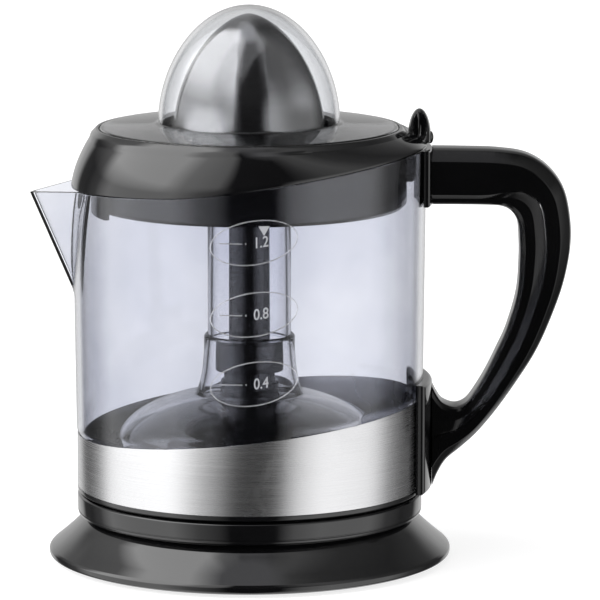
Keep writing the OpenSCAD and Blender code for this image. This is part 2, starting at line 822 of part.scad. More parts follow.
// scoop that the thumb lifts the lid by, with the locating lug behind it
module thumb_tab() {
    color(black) {
        difference() {
            intersection() {
                translate([69.5, 0, 175.8]) sphere(r = 10.4);
                translate([64.8, -9, 173.4]) cube([9.5, 18, 14]);
            }
            translate([62.6, 0, 184.6]) sphere(r = 8);
        }
        disc_at([74.1, 0], 1.4, 172.4, 175.8);
    }
}

module strainer() {
    color([0.08, 0.08, 0.085]) difference() {
        rotate_extrude() polygon([
            [collar_r + 0.5, 165], [36, 165], [57.2, 168.02], [61.4, 168.02], [61.4, 169.6],
            [57, 169.6], [35.8, 166.6], [collar_r + 0.5, 166.6]]);
        // long and short slots by turns
        around(36) box([37, -0.8, 160], [55, 0.8, 172]);
        around(36, 5) box([44, -0.8, 160], [55, 0.8, 172]);
    }
}

module cone_bush() {
    color(natural) tube(bush_r, stem_r + 0.05, 152, 168);
}

// ---------- cone ----------

// outer radius of the cone's plain form at height share u, before the scallops
function cone_plain(u) = cone_r * pow(max(0, 1 - pow(u, 1.85)), 0.6);
// scallops lie between four ribs and fade out at the foot and at the tip
function dip(a) = let (b = abs(((a + 45) % 90) - 45), s = max(0, (b - 15) / 30))
    s > 0 ? sin(90 * s) : 0;
function fade(u) = u < 0.05 ? 0 : u < 0.3 ? sin(90 * (u - 0.05) / 0.25)
    : u < 0.72 ? 1 : max(0, 1 - (u - 0.72) / 0.1);
function cone_point(u, a, inset) = let (
    r = max(0.4, cone_plain(u) * (1 - scallop * dip(a) * fade(u)) - inset),
    z = cone_curve_z + (cone_top_z - cone_curve_z) * u - inset * u)
    [r * cos(a), r * sin(a), z];

module cone_shell() {
    turn = [for (a = [0 : 7.5 : 352.5]) a];
    // levels crowd towards the tip, where the curve is tight
    share = [for (i = [0 : cone_steps]) sin(90 * i / cone_steps)];
    outer = [for (u = share) [for (a = turn) cone_point(u * 0.9995, a, 0)]];
    inner = [for (i = [cone_steps - 1 : -1 : 0]) [for (a = turn) cone_point(share[i], a, cone_wall)]];
    foot = function (r) [for (a = turn) [r * cos(a), r * sin(a), cone_foot_z]];
    color(steel) loft(concat([foot(cone_r)], outer, inner, [foot(cone_r - cone_wall)]),
                      closed = true);
}

module cone_core() {
    socket_r = (hex_af + 0.5) / sqrt(3);
    color([0.1, 0.1, 0.105]) difference() {
        union() {
            disc(stem_r, stem_foot_z, 200);
            disc(10.6, 168.1, collar_top_z);
            // foot disc with its windows and the star of ribs that backs the shell
            tube(cone_r - 0.9, 14, 174.2, 176);
            intersection() {
                around(4, 45) box([0, -0.9, 172.5], [23, 0.9, 212]);
                rotate_extrude() polygon(concat([[0, 172.5], [cone_r - 1, 174.2]],
                    [for (i = [0 : 10]) let (u = 0.72 * i / 10)
                        [cone_plain(u) * (1 - scallop) - 1.6,
                         cone_curve_z + (cone_top_z - cone_curve_z) * u]],
                    [[0, 211.2]]));
            }
            around(4, 0) box([8, -0.9, 174.2], [cone_r - 3, 0.9, 184]);
        }
        translate([0, 0, stem_foot_z - 1])
            cylinder(r = socket_r, h = hex_top_z + press_travel + 2 - stem_foot_z, $fn = 6);
        // groove for the clip
        tube(stem_r + 0.6, stem_r - 0.7, stem_foot_z + 0.3, stem_foot_z + 1.7);
    }
}

module cone_clip() {
    color(steel) tube(10.2, stem_r - 0.65, stem_foot_z + 0.4, stem_foot_z + 1.6);
}

// ---------- cover ----------

module dome_cover() {
    foot_z = 181;
    steps = 20;
    function dome(r, h, u) = [r * sqrt(max(0, 1 - pow(u, 1.85))), foot_z + h * u];
    share = [for (i = [0 : steps]) sin(90 * i / steps)];
    h_out = dome_top_z - foot_z;
    color(clear) rotate_extrude() polygon(concat(
        [[61.1, ledge_z], [61.1, 178.3], [60.7, 178.7], [dome_r + 1.4, 180.4],
         [dome_r + 0.4, 180.6]],
        [for (i = [0 : steps]) dome(dome_r, h_out, share[i])],
        [for (i = [steps : -1 : 0]) dome(dome_r - 1.7, h_out - 1.6, share[i])],
        [[dome_r - 1.7, 180.2], [dome_r - 0.7, 178.9], [59.5, 177.3], [59.5, ledge_z]]));
}

foot_shell();
base_housing();
base_plate();
foot_ring();
plate_screws();
gear_carrier();
carrier_screws();
upper_bush();
lower_bush();
idler_axle();
stator_core();
coil_bobbin();
coil_winding();
bracket_lower();
bracket_upper();
rotor_core();
rotor_shaft();
rotor_pinion();
idler_gear();
output_gear();
spindle_rod();
spindle_sleeve();
drip_cap();
press_plunger();
return_spring();
switch_body();
switch_button();
terminal_block();
cord_bush();
cord_clamp();
jug_wall();
jug_well();
jug_tube();
jug_base_ring();
steel_band();
handle_outer();
handle_inner();
handle_upper_bracket();
handle_lower_bracket();
handle_screws();
lid_rim();
thumb_tab();
collector();
strainer();
cone_bush();
cone_core();
cone_shell();
cone_clip();
dome_cover();
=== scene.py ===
# %% [markdown]
# # A citrus press juicer
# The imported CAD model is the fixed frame: it says where every piece is and what it rides on.
# This notebook gives each piece its finished surface. All lengths are in metres, and MM turns
# the millimetres of a maker's drawing into metres.

# %% Load the frame
import json
import math
import bmesh
import bpy
from mathutils import Matrix, Vector, noise


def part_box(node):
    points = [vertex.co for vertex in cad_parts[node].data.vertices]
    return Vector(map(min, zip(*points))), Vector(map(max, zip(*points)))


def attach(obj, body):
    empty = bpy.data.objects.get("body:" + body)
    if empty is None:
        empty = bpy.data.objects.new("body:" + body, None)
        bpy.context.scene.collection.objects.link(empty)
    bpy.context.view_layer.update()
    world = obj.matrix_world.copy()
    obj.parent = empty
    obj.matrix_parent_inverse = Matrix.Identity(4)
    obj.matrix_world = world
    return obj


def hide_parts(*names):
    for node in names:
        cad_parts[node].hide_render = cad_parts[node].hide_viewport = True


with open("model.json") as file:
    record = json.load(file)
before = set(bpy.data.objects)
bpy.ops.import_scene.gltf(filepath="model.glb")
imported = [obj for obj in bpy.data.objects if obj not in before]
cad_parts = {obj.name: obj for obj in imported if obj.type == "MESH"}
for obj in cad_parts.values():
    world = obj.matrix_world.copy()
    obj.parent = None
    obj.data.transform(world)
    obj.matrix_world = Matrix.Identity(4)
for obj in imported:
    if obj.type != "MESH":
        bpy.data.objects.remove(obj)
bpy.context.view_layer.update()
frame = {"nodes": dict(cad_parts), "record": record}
MM = 0.001

# %% [markdown]
# ## The driving sizes
# A turned or moulded piece is drawn from a few sizes. They are read off the frame, so the
# looks follow the design: the body's radius from the steel band, the foot's from the foot
# shell, and so on. A plane that rises towards the handle cuts the band and the jug's rim.

# %% Driving sizes from the frame


def top_of(node):
    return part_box(node)[1].z / MM


def foot_of(node):
    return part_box(node)[0].z / MM


def radius_of(node):
    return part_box(node)[1].y / MM


FOOT_R = radius_of("foot_shell")
BODY_R = radius_of("steel_band")
SEAT_Z = foot_of("jug_base_ring")
JUG_FOOT_Z = foot_of("steel_band")
JUG_TOP_R = 72.4
JUG_WALL = 2.4
WALL_TOP_Z = 160
TUBE_R = radius_of("jug_tube")
TUBE_TOP_Z = top_of("jug_tube")
DOME_TOP_Z = top_of("dome_cover")
CONE_R = radius_of("cone_shell")
CONE_TOP_Z = top_of("cone_shell")
LID_TOP_Z = top_of("lid_rim")
FLANK_R = radius_of("lid_rim")
SPOUT_TIP = -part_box("jug_wall")[0].x / MM
RIM_SLOPE = math.tan(math.radians(7.9))
RIM_MID_Z = 161.7
BAND_SLOPE = math.tan(math.radians(6.3))
BAND_MID_Z = 60.2
LEVELLED = 2.5


def smooth(value, start, end):
    """0 up to start, 1 from end on, and an easy S between them."""
    share = min(1.0, max(0.0, (value - start) / (end - start)))
    return share * share * (3 - 2 * share)


def rim_lift(x):
    """How far the sloping rim stands over its middle: it levels out towards the spout."""
    return RIM_SLOPE * x + LEVELLED * smooth(-x, 15.0, 70.0)


print("body", BODY_R, "foot", FOOT_R, "tube", TUBE_R, "spout", round(SPOUT_TIP, 1))

# %% [markdown]
# ## Camera
# A long lens two metres away keeps the verticals nearly straight and the proportions true.
# It looks down by nine and a half degrees at the middle of the body.

# %% Camera
camera = bpy.data.objects.new("camera", bpy.data.cameras.new("camera"))
bpy.context.scene.collection.objects.link(camera)
bpy.context.scene.camera = camera
CAMERA_AT = Vector((0.0208, -1.97, 0.4367))
LOOK_AT = Vector((0.0208, 0, 0.1067))
camera.data.lens = 291.6
camera.location = CAMERA_AT
camera.rotation_euler = (LOOK_AT - CAMERA_AT).to_track_quat("-Z", "Y").to_euler()
camera.data.clip_start = 0.05
print("camera distance", round((LOOK_AT - CAMERA_AT).length, 3), "m")

# %% [markdown]
# ## Drawing an outline with rounded corners
# Moulded plastic has no sharp corner: the tool's edges are eased by a few tenths of a
# millimetre, and those small rounds are what catches the light. An outline here is a list of
# (radius, height) points, and a third number rounds that corner with an arc.

# %% Rounded outlines


def rounded(points, closed=True):
    """The outline with an arc at each point that carries a radius."""
    made = []
    n = len(points)
    for i, p in enumerate(points):
        here = Vector(p[:2])
        if len(p) < 3 or (not closed and i in (0, n - 1)):
            made.append(here)
            continue
        back, ahead = Vector(points[i - 1][:2]) - here, Vector(points[(i + 1) % n][:2]) - here
        half = back.angle(ahead) / 2
        reach = min(p[2] / math.tan(half), 0.48 * back.length, 0.48 * ahead.length)
        start, end = here + back.normalized() * reach, here + ahead.normalized() * reach
        middle = (back.normalized() + ahead.normalized()).normalized()
        centre = here + middle * (reach / math.cos(half))
        turn = math.pi - 2 * half
        steps = max(2, math.ceil(turn / math.radians(16)))
        for k in range(steps + 1):
            a = (start - centre).to_3d()
            sign = 1 if (start - centre).cross(end - centre) > 0 else -1
            a.rotate(Matrix.Rotation(sign * turn * k / steps, 3, "Z"))
            made.append(centre + a.to_2d())
    return made


def arc(r, h, z0, start, end, steps):
    """Points on a quarter ellipse of radius r and height h that stands at z0."""
    angles = [start + (end - start) * i / steps for i in range(steps + 1)]
    return [(r * math.cos(a), z0 + h * math.sin(a)) for a in angles]


print("a square's corners rounded:", len(rounded([(0, 0, 1), (9, 0, 1), (9, 9, 1), (0, 9, 1)])))

# %% [markdown]
# ## Turning an outline into a piece
# Most of the juicer is round, so its pieces are spun, as on a lathe. The spin operator takes
# the outline's edges round the axis; use_merge closes the full turn. The normals are
# recalculated after the doubles are merged, so that every face points outwards.

# %% Lathe and finishing helpers
ROUND = 192
PIECES = {}


def spun(outline, steps=ROUND, sweep=360.0, start=0.0, closed=True):
    """A bmesh of the outline, in mm, spun about Z by sweep degrees."""
    bm = bmesh.new()
    ring = [bm.verts.new((p[0] * MM, 0, p[1] * MM)) for p in outline]
    pairs = list(zip(ring, ring[1:] + ring[:1])) if closed else list(zip(ring, ring[1:]))
    edges = [bm.edges.new(pair) for pair in pairs]
    bmesh.ops.rotate(bm, verts=ring, cent=(0, 0, 0),
                     matrix=Matrix.Rotation(math.radians(start), 3, "Z"))
    full = sweep >= 360
    bmesh.ops.spin(bm, geom=ring + edges, cent=(0, 0, 0), axis=(0, 0, 1), dvec=(0, 0, 0),
                   angle=math.radians(sweep), steps=steps, use_merge=full,
                   use_normal_flip=False, use_duplicate=False)
    bmesh.ops.remove_doubles(bm, verts=bm.verts, dist=1e-6)
    if not full:
        rims = [e for e in bm.edges if e.is_boundary]
        bmesh.ops.holes_fill(bm, edges=rims, sides=0)
    bmesh.ops.recalc_face_normals(bm, faces=bm.faces)
    return bm


def ease(bm, edges, offset, segments=2):
    """Rounds edges off, as a tool's corners are, by offset in mm."""
    bmesh.ops.bevel(bm, geom=edges, offset=offset * MM, offset_type="OFFSET",
                    segments=segments, profile=0.5, affect="EDGES", material=-1)


def add_piece(name, bm, body, material, *nodes, slot=None, sharp=32):
    """Makes the bmesh a piece that rides on body and stands for the CAD nodes."""
    mesh = bpy.data.meshes.new(name)
    bm.to_mesh(mesh)
    bm.free()
    mesh.shade_smooth()
    mesh.set_sharp_from_angle(angle=math.radians(sharp))
    mesh.materials.append(material)
    piece = bpy.data.objects.new(name, mesh)
    bpy.context.scene.collection.objects.link(piece)
    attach(piece, body)
    if nodes:
        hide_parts(*nodes)
    PIECES[name] = piece
    print(f"{name}: {len(mesh.polygons)} faces")
    return piece


# %% [markdown]
# ## Building materials from nodes
# One short helper adds a node, sets its values and joins its inputs, so a material reads
# like a recipe. Effects that several finishes share are node groups: grain, handling marks,
# dust and the lines that brushing or turning leaves.

# %% Node helpers


def add_node(tree, kind, values=None, **settings):
    """A node of that kind. values sets or links inputs by name or number."""
    made = tree.nodes.new(kind)
    for key, value in settings.items():
        setattr(made, key, value)
    for key, value in (values or {}).items():
        if isinstance(value, bpy.types.NodeSocket):
            tree.links.new(value, made.inputs[key])
        else:
            made.inputs[key].default_value = value
    return made


def math_node(tree, operation, a, b=0.0, clamp=False):
    made = add_node(tree, "ShaderNodeMath", {0: a, 1: b}, operation=operation, use_clamp=clamp)
    return made.outputs[0]


def remap(tree, value, low, high, to_low=0.0, to_high=1.0):
    made = add_node(tree, "ShaderNodeMapRange", {"Value": value, "From Min": low,
                    "From Max": high, "To Min": to_low, "To Max": to_high})
    return made.outputs["Result"]


def new_group(name, inputs, outputs):
    """An empty shader node group with a Vector input, float inputs and float outputs."""
    tree = bpy.data.node_groups.new(name, "ShaderNodeTree")
    tree.interface.new_socket("Vector", in_out="INPUT", socket_type="NodeSocketVector")
    for key, value in inputs.items():
        socket = tree.interface.new_socket(key, in_out="INPUT", socket_type="NodeSocketFloat")
        socket.default_value = value
    for key in outputs:
        tree.interface.new_socket(key, in_out="OUTPUT", socket_type="NodeSocketFloat")
    return tree, tree.nodes.new("NodeGroupInput"), tree.nodes.new("NodeGroupOutput")


# %% [markdown]
# ### Moulded grain
# An injection mould is never perfectly even. A fine noise gives the faint orange peel of
# the surface, and a wide one the slow change of gloss where the plastic cooled.

# %% Group: moulded grain
grain, g_in, g_out = new_group("moulded_grain", {"Fine": 900.0, "Wide": 14.0},
                               ["Height", "Cloud"])
fine = add_node(grain, "ShaderNodeTexNoise", {"Vector": g_in.outputs["Vector"],
                "Scale": g_in.outputs["Fine"], "Detail": 3.0, "Roughness": 0.6})
wide = add_node(grain, "ShaderNodeTexNoise", {"Vector": g_in.outputs["Vector"],
                "Scale": g_in.outputs["Wide"], "Detail": 4.0, "Roughness": 0.55})
grain.links.new(fine.outputs[0], g_out.inputs["Height"])
grain.links.new(remap(grain, wide.outputs[0], 0.35, 0.65), g_out.inputs["Cloud"])

# %% [markdown]
# ### Handling marks
# Glossy plastic that is wiped and held gets hair-thin scratches in every direction and
# dull patches from fingers. Each scratch set is a noise stretched a hundredfold along one
# direction, cut off high so that only single hairs are left.

# %% Group: handling marks
marks, m_in, m_out = new_group("handling_marks", {"Density": 0.5}, ["Hairs", "Smudge"])
hairs = []
for tilt in ((0.3, 0.2, 0.7), (1.1, 0.8, 2.1), (0.5, 1.9, 1.2)):
    turned = add_node(marks, "ShaderNodeMapping", {"Vector": m_in.outputs["Vector"],
                      "Rotation": tilt, "Scale": (1500.0, 14.0, 60.0)})
    lines = add_node(marks, "ShaderNodeTexNoise", {"Vector": turned.outputs[0], "Scale": 1.0,
                     "Detail": 2.0})
    hairs.append(remap(marks, lines.outputs[0], 0.70, 0.76))
hair = math_node(marks, "MAXIMUM", math_node(marks, "MAXIMUM", hairs[0], hairs[1]), hairs[2])
marks.links.new(math_node(marks, "MULTIPLY", hair, m_in.outputs["Density"]),
                m_out.inputs["Hairs"])
finger = add_node(marks, "ShaderNodeTexNoise", {"Vector": m_in.outputs["Vector"],
                  "Scale": 38.0, "Detail": 6.0, "Roughness": 0.7, "Distortion": 0.6})
marks.links.new(remap(marks, finger.outputs[0], 0.52, 0.72), m_out.inputs["Smudge"])

# %% [markdown]
# ### Settled dust
# A little dust lies on what faces up. The normal's height picks those faces, and a noise
# breaks the film into specks.

# %% Group: settled dust
dust, d_in, d_out = new_group("settled_dust", {"Amount": 0.3}, ["Dust"])
facing = add_node(dust, "ShaderNodeNewGeometry")
upward = add_node(dust, "ShaderNodeSeparateXYZ", {0: facing.outputs["Normal"]})
specks = add_node(dust, "ShaderNodeTexNoise", {"Vector": d_in.outputs["Vector"],
                  "Scale": 700.0, "Detail": 5.0, "Roughness": 0.8})
lying = math_node(dust, "MULTIPLY", remap(dust, upward.outputs["Z"], 0.55, 1.0),
                  remap(dust, specks.outputs[0], 0.50, 0.72))
dust.links.new(math_node(dust, "MULTIPLY", lying, d_in.outputs["Amount"], clamp=True),
               d_out.inputs["Dust"])

# %% [markdown]
# ### Lines round the axis
# Brushing a band or turning a shaft leaves lines that run round the piece. The coordinate
# is squeezed round the axis and stretched along it, so a noise becomes long thin rings,
# with no seam.

# %% Group: ring lines
rings, r_in, r_out = new_group("ring_lines", {"Lines": 5200.0, "Length": 26.0},
                               ["Height", "Streak"])
parts = add_node(rings, "ShaderNodeSeparateXYZ", {0: r_in.outputs["Vector"]})
squeezed = add_node(rings, "ShaderNodeCombineXYZ", {
    "X": math_node(rings, "MULTIPLY", parts.outputs["X"], r_in.outputs["Length"]),
    "Y": math_node(rings, "MULTIPLY", parts.outputs["Y"], r_in.outputs["Length"]),
    "Z": math_node(rings, "MULTIPLY", parts.outputs["Z"], r_in.outputs["Lines"])})
lines = add_node(rings, "ShaderNodeTexNoise", {"Vector": squeezed.outputs[0], "Scale": 1.0,
                 "Detail": 4.0, "Roughness": 0.7})
rings.links.new(lines.outputs[0], r_out.inputs["Height"])
rings.links.new(remap(rings, lines.outputs[0], 0.3, 0.7), r_out.inputs["Streak"])
print("node groups:", [g.name for g in bpy.data.node_groups])

# %% [markdown]
# ## Finishes
# Each finish is one Principled shader. Colour, roughness and bump vary over the surface,
# and values that are the same everywhere are set on the shader itself.

# %% Material helpers


def new_material(name, **values):
    """A material with one Principled shader, its tree and the Object coordinate."""
    made = bpy.data.materials.new(name)
    made.use_nodes = True
    tree = made.node_tree
    shader = tree.nodes["Principled BSDF"]
    for key, value in values.items():
        shader.inputs[key.replace("_", " ")].default_value = value
    place = add_node(tree, "ShaderNodeTexCoord").outputs["Object"]
    return made, tree, shader, place


def use_group(tree, group, place, **values):
    made = add_node(tree, "ShaderNodeGroup", node_tree=group)
    tree.links.new(place, made.inputs["Vector"])
    for key, value in values.items():
        made.inputs[key].default_value = value
    return made.outputs


def colour_mix(tree, factor, a, b):
    made = tree.nodes.new("ShaderNodeMix")
    made.data_type = "RGBA"
    for key, value in ((0, factor), (6, a), (7, b)):
        if isinstance(value, bpy.types.NodeSocket):
            tree.links.new(value, made.inputs[key])
        else:
            made.inputs[key].default_value = value
    return made.outputs[2]


def bump(tree, shader, height, strength, depth):
    made = add_node(tree, "ShaderNodeBump", {"Height": height, "Strength": strength,
                    "Distance": depth})
    tree.links.new(made.outputs[0], shader.inputs["Normal"])


def plastic(name, colour, gloss, dull, grain_size, depth, shine=0.7, marks_density=0.3,
            dusty=0.04):
    """Moulded plastic: roughness runs from gloss to dull, with grain, marks and dust."""
    made, tree, shader, place = new_material(name, IOR=1.53, Specular_IOR_Level=shine)
    g = use_group(tree, grain, place, Fine=grain_size)
    m = use_group(tree, marks, place, Density=marks_density)
    d = use_group(tree, dust, place, Amount=dusty)
    lighter = [min(1, c * 1.5 + 0.001) for c in colour[:3]] + [1]
    base = colour_mix(tree, g["Cloud"], list(colour) + [1], lighter)
    base = colour_mix(tree, d["Dust"], base, (0.32, 0.31, 0.29, 1))
    tree.links.new(base, shader.inputs["Base Color"])
    worn = math_node(tree, "MAXIMUM", m["Hairs"], math_node(tree, "MULTIPLY", m["Smudge"], 0.55))
    worn = math_node(tree, "MAXIMUM", worn, d["Dust"])
    tree.links.new(remap(tree, worn, 0, 1, gloss, dull), shader.inputs["Roughness"])
    bump(tree, shader, g["Height"], 0.35, depth)
    return made


def metal(name, colour, rough_low, rough_high, lines=None, depth=0.00002, length=26.0):
    """Metal with lines round the axis where lines is given, or else a fine grain."""
    made, tree, shader, place = new_material(name, Metallic=1.0)
    if lines:
        r = use_group(tree, rings, place, Lines=lines, Length=length)
        height, streak = r["Height"], r["Streak"]
    else:
        g = use_group(tree, grain, place, Fine=1400.0)
        height, streak = g["Height"], g["Cloud"]
    m = use_group(tree, marks, place, Density=0.35)
    darker = [c * 0.86 for c in colour] + [1]
    tree.links.new(colour_mix(tree, streak, darker, list(colour) + [1]),
                   shader.inputs["Base Color"])
    worn = math_node(tree, "ADD", streak, math_node(tree, "MULTIPLY", m["Smudge"], 0.5), True)
    tree.links.new(remap(tree, worn, 0, 1, rough_low, rough_high), shader.inputs["Roughness"])
    bump(tree, shader, height, 0.4, depth)
    return made


def clear_plastic(name, tint, ior, rough):
    """Clear moulded plastic. Lamps' shadow rays pass through it tinted, so that it lights
    what it holds; the eye sees the bending Principled shader."""
    made, tree, shader, place = new_material(name, IOR=ior, Transmission_Weight=1.0)
    m = use_group(tree, marks, place, Density=0.5)
    g = use_group(tree, grain, place, Fine=260.0, Wide=9.0)
    paler = [0.5 + 0.5 * c for c in tint] + [1]
    tree.links.new(colour_mix(tree, g["Cloud"], list(tint) + [1], paler),
                   shader.inputs["Base Color"])
    worn = math_node(tree, "MAXIMUM", m["Hairs"], math_node(tree, "MULTIPLY", m["Smudge"], 0.2))
    tree.links.new(remap(tree, worn, 0, 1, rough, rough + 0.09), shader.inputs["Roughness"])
    bump(tree, shader, g["Height"], 0.06, 0.00002)
    passing = add_node(tree, "ShaderNodeBsdfTransparent", {"Color": [c ** 0.5 for c in tint] + [1]})
    path = add_node(tree, "ShaderNodeLightPath")
    both = add_node(tree, "ShaderNodeMixShader", {0: path.outputs["Is Shadow Ray"],
                    1: shader.outputs[0], 2: passing.outputs[0]})
    tree.links.new(both.outputs[0], tree.nodes["Material Output"].inputs["Surface"])
    return made


# %% [markdown]
# ### The finishes themselves
# Glossy black ABS for the casings, satin black for what works inside, clear SAN with a
# faint blue cast for the jug, clearer still for the cover, brushed stainless for the band
# and polished stainless for the cone.

# %% Make the finishes
gloss_black = plastic("gloss_black", (0.0022, 0.0022, 0.0026), 0.03, 0.18, 700.0, 0.000008)
satin_black = plastic("satin_black", (0.0028, 0.0028, 0.0033), 0.10, 0.26, 1500.0, 0.00001)
handle_black = plastic("handle_black", (0.0018, 0.0018, 0.002), 0.05, 0.20, 800.0, 0.000008,
                       0.26)
grip_black = plastic("grip_black", (0.002, 0.002, 0.0022), 0.10, 0.26, 1200.0, 0.00001, 0.24)
clear_jug = clear_plastic("clear_jug", (0.67, 0.685, 0.75), 1.46, 0.0)
clear_tube = clear_plastic("clear_tube", (0.95, 0.955, 0.985), 1.46, 0.0)
clear_cover = clear_plastic("clear_cover", (0.84, 0.85, 0.87), 1.45, 0.0)
band_steel = metal("band_steel", (0.70, 0.70, 0.71), 0.20, 0.32, 5200.0, 0.000018)
band_back = metal("band_back", (0.27, 0.27, 0.28), 0.24, 0.34)
cone_steel = metal("cone_steel", (0.24, 0.24, 0.245), 0.08, 0.17, 2600.0, 0.000008, 60.0)
turned_steel = metal("turned_steel", (0.52, 0.52, 0.53), 0.22, 0.40, 4200.0, 0.00002, 200.0)
core_steel = metal("core_steel", (0.30, 0.30, 0.32), 0.35, 0.60, 2000.0, 0.00012, 4.0)
bronze_metal = metal("bronze_metal", (0.56, 0.36, 0.16), 0.35, 0.55)
copper_wire = metal("copper_wire", (0.60, 0.22, 0.08), 0.25, 0.40, 2200.0, 0.0002, 2.0)
nylon = plastic("nylon", (0.62, 0.58, 0.47), 0.30, 0.50, 900.0, 0.00003)
rubber_black = plastic("rubber_black", (0.010, 0.010, 0.010), 0.55, 0.80, 1600.0, 0.00008)
switch_red = plastic("switch_red", (0.45, 0.03, 0.02), 0.22, 0.40, 900.0, 0.00002)
frosted = clear_plastic("frosted_mark", (0.97, 0.97, 0.98), 1.47, 0.12)
frosted.node_tree.nodes["Principled BSDF"].inputs["Transmission Weight"].default_value = 0.84
mark_white = plastic("mark_white", (0.36, 0.365, 0.39), 0.25, 0.45, 900.0, 0.00001)

# %% [markdown]
# ### Painting the CAD nodes
# The pieces hidden inside keep their CAD shape. The record names each node's finish, so a
# loop puts the right material on every one of them.

# %% Finishes on the CAD nodes
FINISH = {"black_gloss": gloss_black, "black_satin": satin_black, "clear_jug": clear_jug,
          "clear_cover": clear_cover, "brushed_steel": band_steel,
          "polished_steel": cone_steel, "bright_steel": turned_steel, "rubber": rubber_black,
          "laminations": core_steel, "copper": copper_wire, "natural_nylon": nylon,
          "bronze": bronze_metal, "switch_red": switch_red}
for row in frame["record"]["subparts"]:
    node = frame["nodes"][row["node"]]
    node.data.materials.clear()
    node.data.materials.append(FINISH[row["material_slot"]])
    for face in node.data.polygons:
        face.material_index = 0

# %% [markdown]
# ## Foot
# The foot is a flared skirt of glossy plastic. Its lip turns in at the table and carries a
# small round that shows as a bright line; the slope sinks very slightly, as a shell does
# when it cools. The rubber ring under it keeps it from sliding. At the back a round hole
# takes the bush of the cord.

# %% Foot shell and rubber ring
SLOPE_TOP = (67.9, 18.0)
slope = [(FOOT_R - 0.9 - (FOOT_R - 0.9 - SLOPE_TOP[0]) * t,
          5.2 + (SLOPE_TOP[1] - 5.2) * t - 0.5 * math.sin(math.pi * t)) for t in (0.25, 0.5, 0.75)]
foot_outline = rounded([
    (77.0, 1.0, 0.4), (FOOT_R - 2.8, 1.0, 0.8), (FOOT_R, 2.2, 1.1), (FOOT_R, 4.2, 0.9),
    (FOOT_R - 0.9, 5.2, 0.9), *slope, (*SLOPE_TOP, 0.3), (59.5, 18.0, 0.4), (59.5, 15.6, 0.4),
    (66.3, 15.6, 0.8), (77.0, 6.6, 0.8)])
CORD_Z, CORD_SEAT_R = 11.0, 5.5


def bored(bm, radius, at, depth):
    """Takes a round hole along Y out of the bmesh, by a boolean on two short-lived objects."""
    bores = bmesh.new()
    bmesh.ops.create_cone(bores, cap_ends=True, segments=64, radius1=radius * MM,
                          radius2=radius * MM, depth=depth * MM,
                          matrix=Matrix.Translation(Vector(at) * MM) @ Matrix.Rotation(
                              math.pi / 2, 4, "X"))
    holders = []
    for source in (bm, bores):
        mesh = bpy.data.meshes.new("carrier")
        source.to_mesh(mesh)
        source.free()
        holders.append(bpy.data.objects.new("carrier", mesh))
        bpy.context.scene.collection.objects.link(holders[-1])
    cut = holders[0].modifiers.new("cut", "BOOLEAN")
    cut.object, cut.operation, cut.solver = holders[1], "DIFFERENCE", "EXACT"
    made = bmesh.new()
    made.from_object(holders[0], bpy.context.evaluated_depsgraph_get())
    for holder in holders:
        bpy.data.objects.remove(holder)
    return made


foot = bored(spun(foot_outline, 256), CORD_SEAT_R, (0, 76, CORD_Z), 22)
add_piece("foot_flare", foot, "base", gloss_black, "foot_shell", slot="black_gloss")
ring_outline = rounded([(70.0, 0.0, 0.5), (74.6, 0.0, 0.6), (75.2, 0.7, 0.3), (75.2, 3.0, 0.2),
                        (69.4, 3.0, 0.2), (69.4, 0.7, 0.3)])
add_piece("rubber_foot", spun(ring_outline), "base", rubber_black, "foot_ring", slot="rubber")

# %% [markdown]
# ## Base body and motor dome
# One moulding makes the ring above the foot, the seat for the jug and the tall dome over
# the motor, ending in the column that guides the spindle. The ring has a fine groove and
# rounded lips, which draw the thin light lines round it.

# %% Base body
DOME_R, DOME_Z, DOME_H, SKIN = 51.5, 45.0, 20.5, 2.2
out_end = math.acos(13.6 / DOME_R)
in_end = math.acos(11.8 / (DOME_R - SKIN))
body_outline = rounded([
    (67.0, 18.0), (67.0, 19.5, 0.3), (69.3, 18.7, 0.3), (70.6, 19.1, 0.6), (BODY_R, 20.3, 0.2),
    (70.65, 20.5), (70.65, 20.8), (BODY_R, 21.0, 0.15), (BODY_R, 27.0, 0.5),
    (70.1, 27.8, 0.4), (67.5, 27.8, 0.3), (67.5, SEAT_Z, 0.2), (62.0, SEAT_Z, 0.4),
    (62.0, 26.5, 0.5), (DOME_R + 0.2, 26.5, 1.2),
    *arc(DOME_R, DOME_H, DOME_Z, 0, out_end, 30),
    (12.4, 66.6, 1.0), (11.9, 70.0), (11.8, 74.0, 0.4), (10.5, 74.0, 0.3), (10.5, 84.5, 0.7),
    (7.0, 84.5, 0.4), (7.0, 64.6, 0.5), (9.0, 63.2),
    *arc(DOME_R - SKIN, DOME_H - SKIN, DOME_Z, in_end, 0, 24),
    (DOME_R - SKIN, 24.5, 1.0), (64.6, 24.5, 1.0), (64.6, 18.0)])
add_piece("body_moulding", spun(body_outline, 256), "base", gloss_black, slot="black_gloss")

# %% [markdown]
# The moulding's inside carries posts for the gear carrier and bosses for the base plate's
# screws, which the spun shape doesn't have. A second piece makes them from cones and cubes.

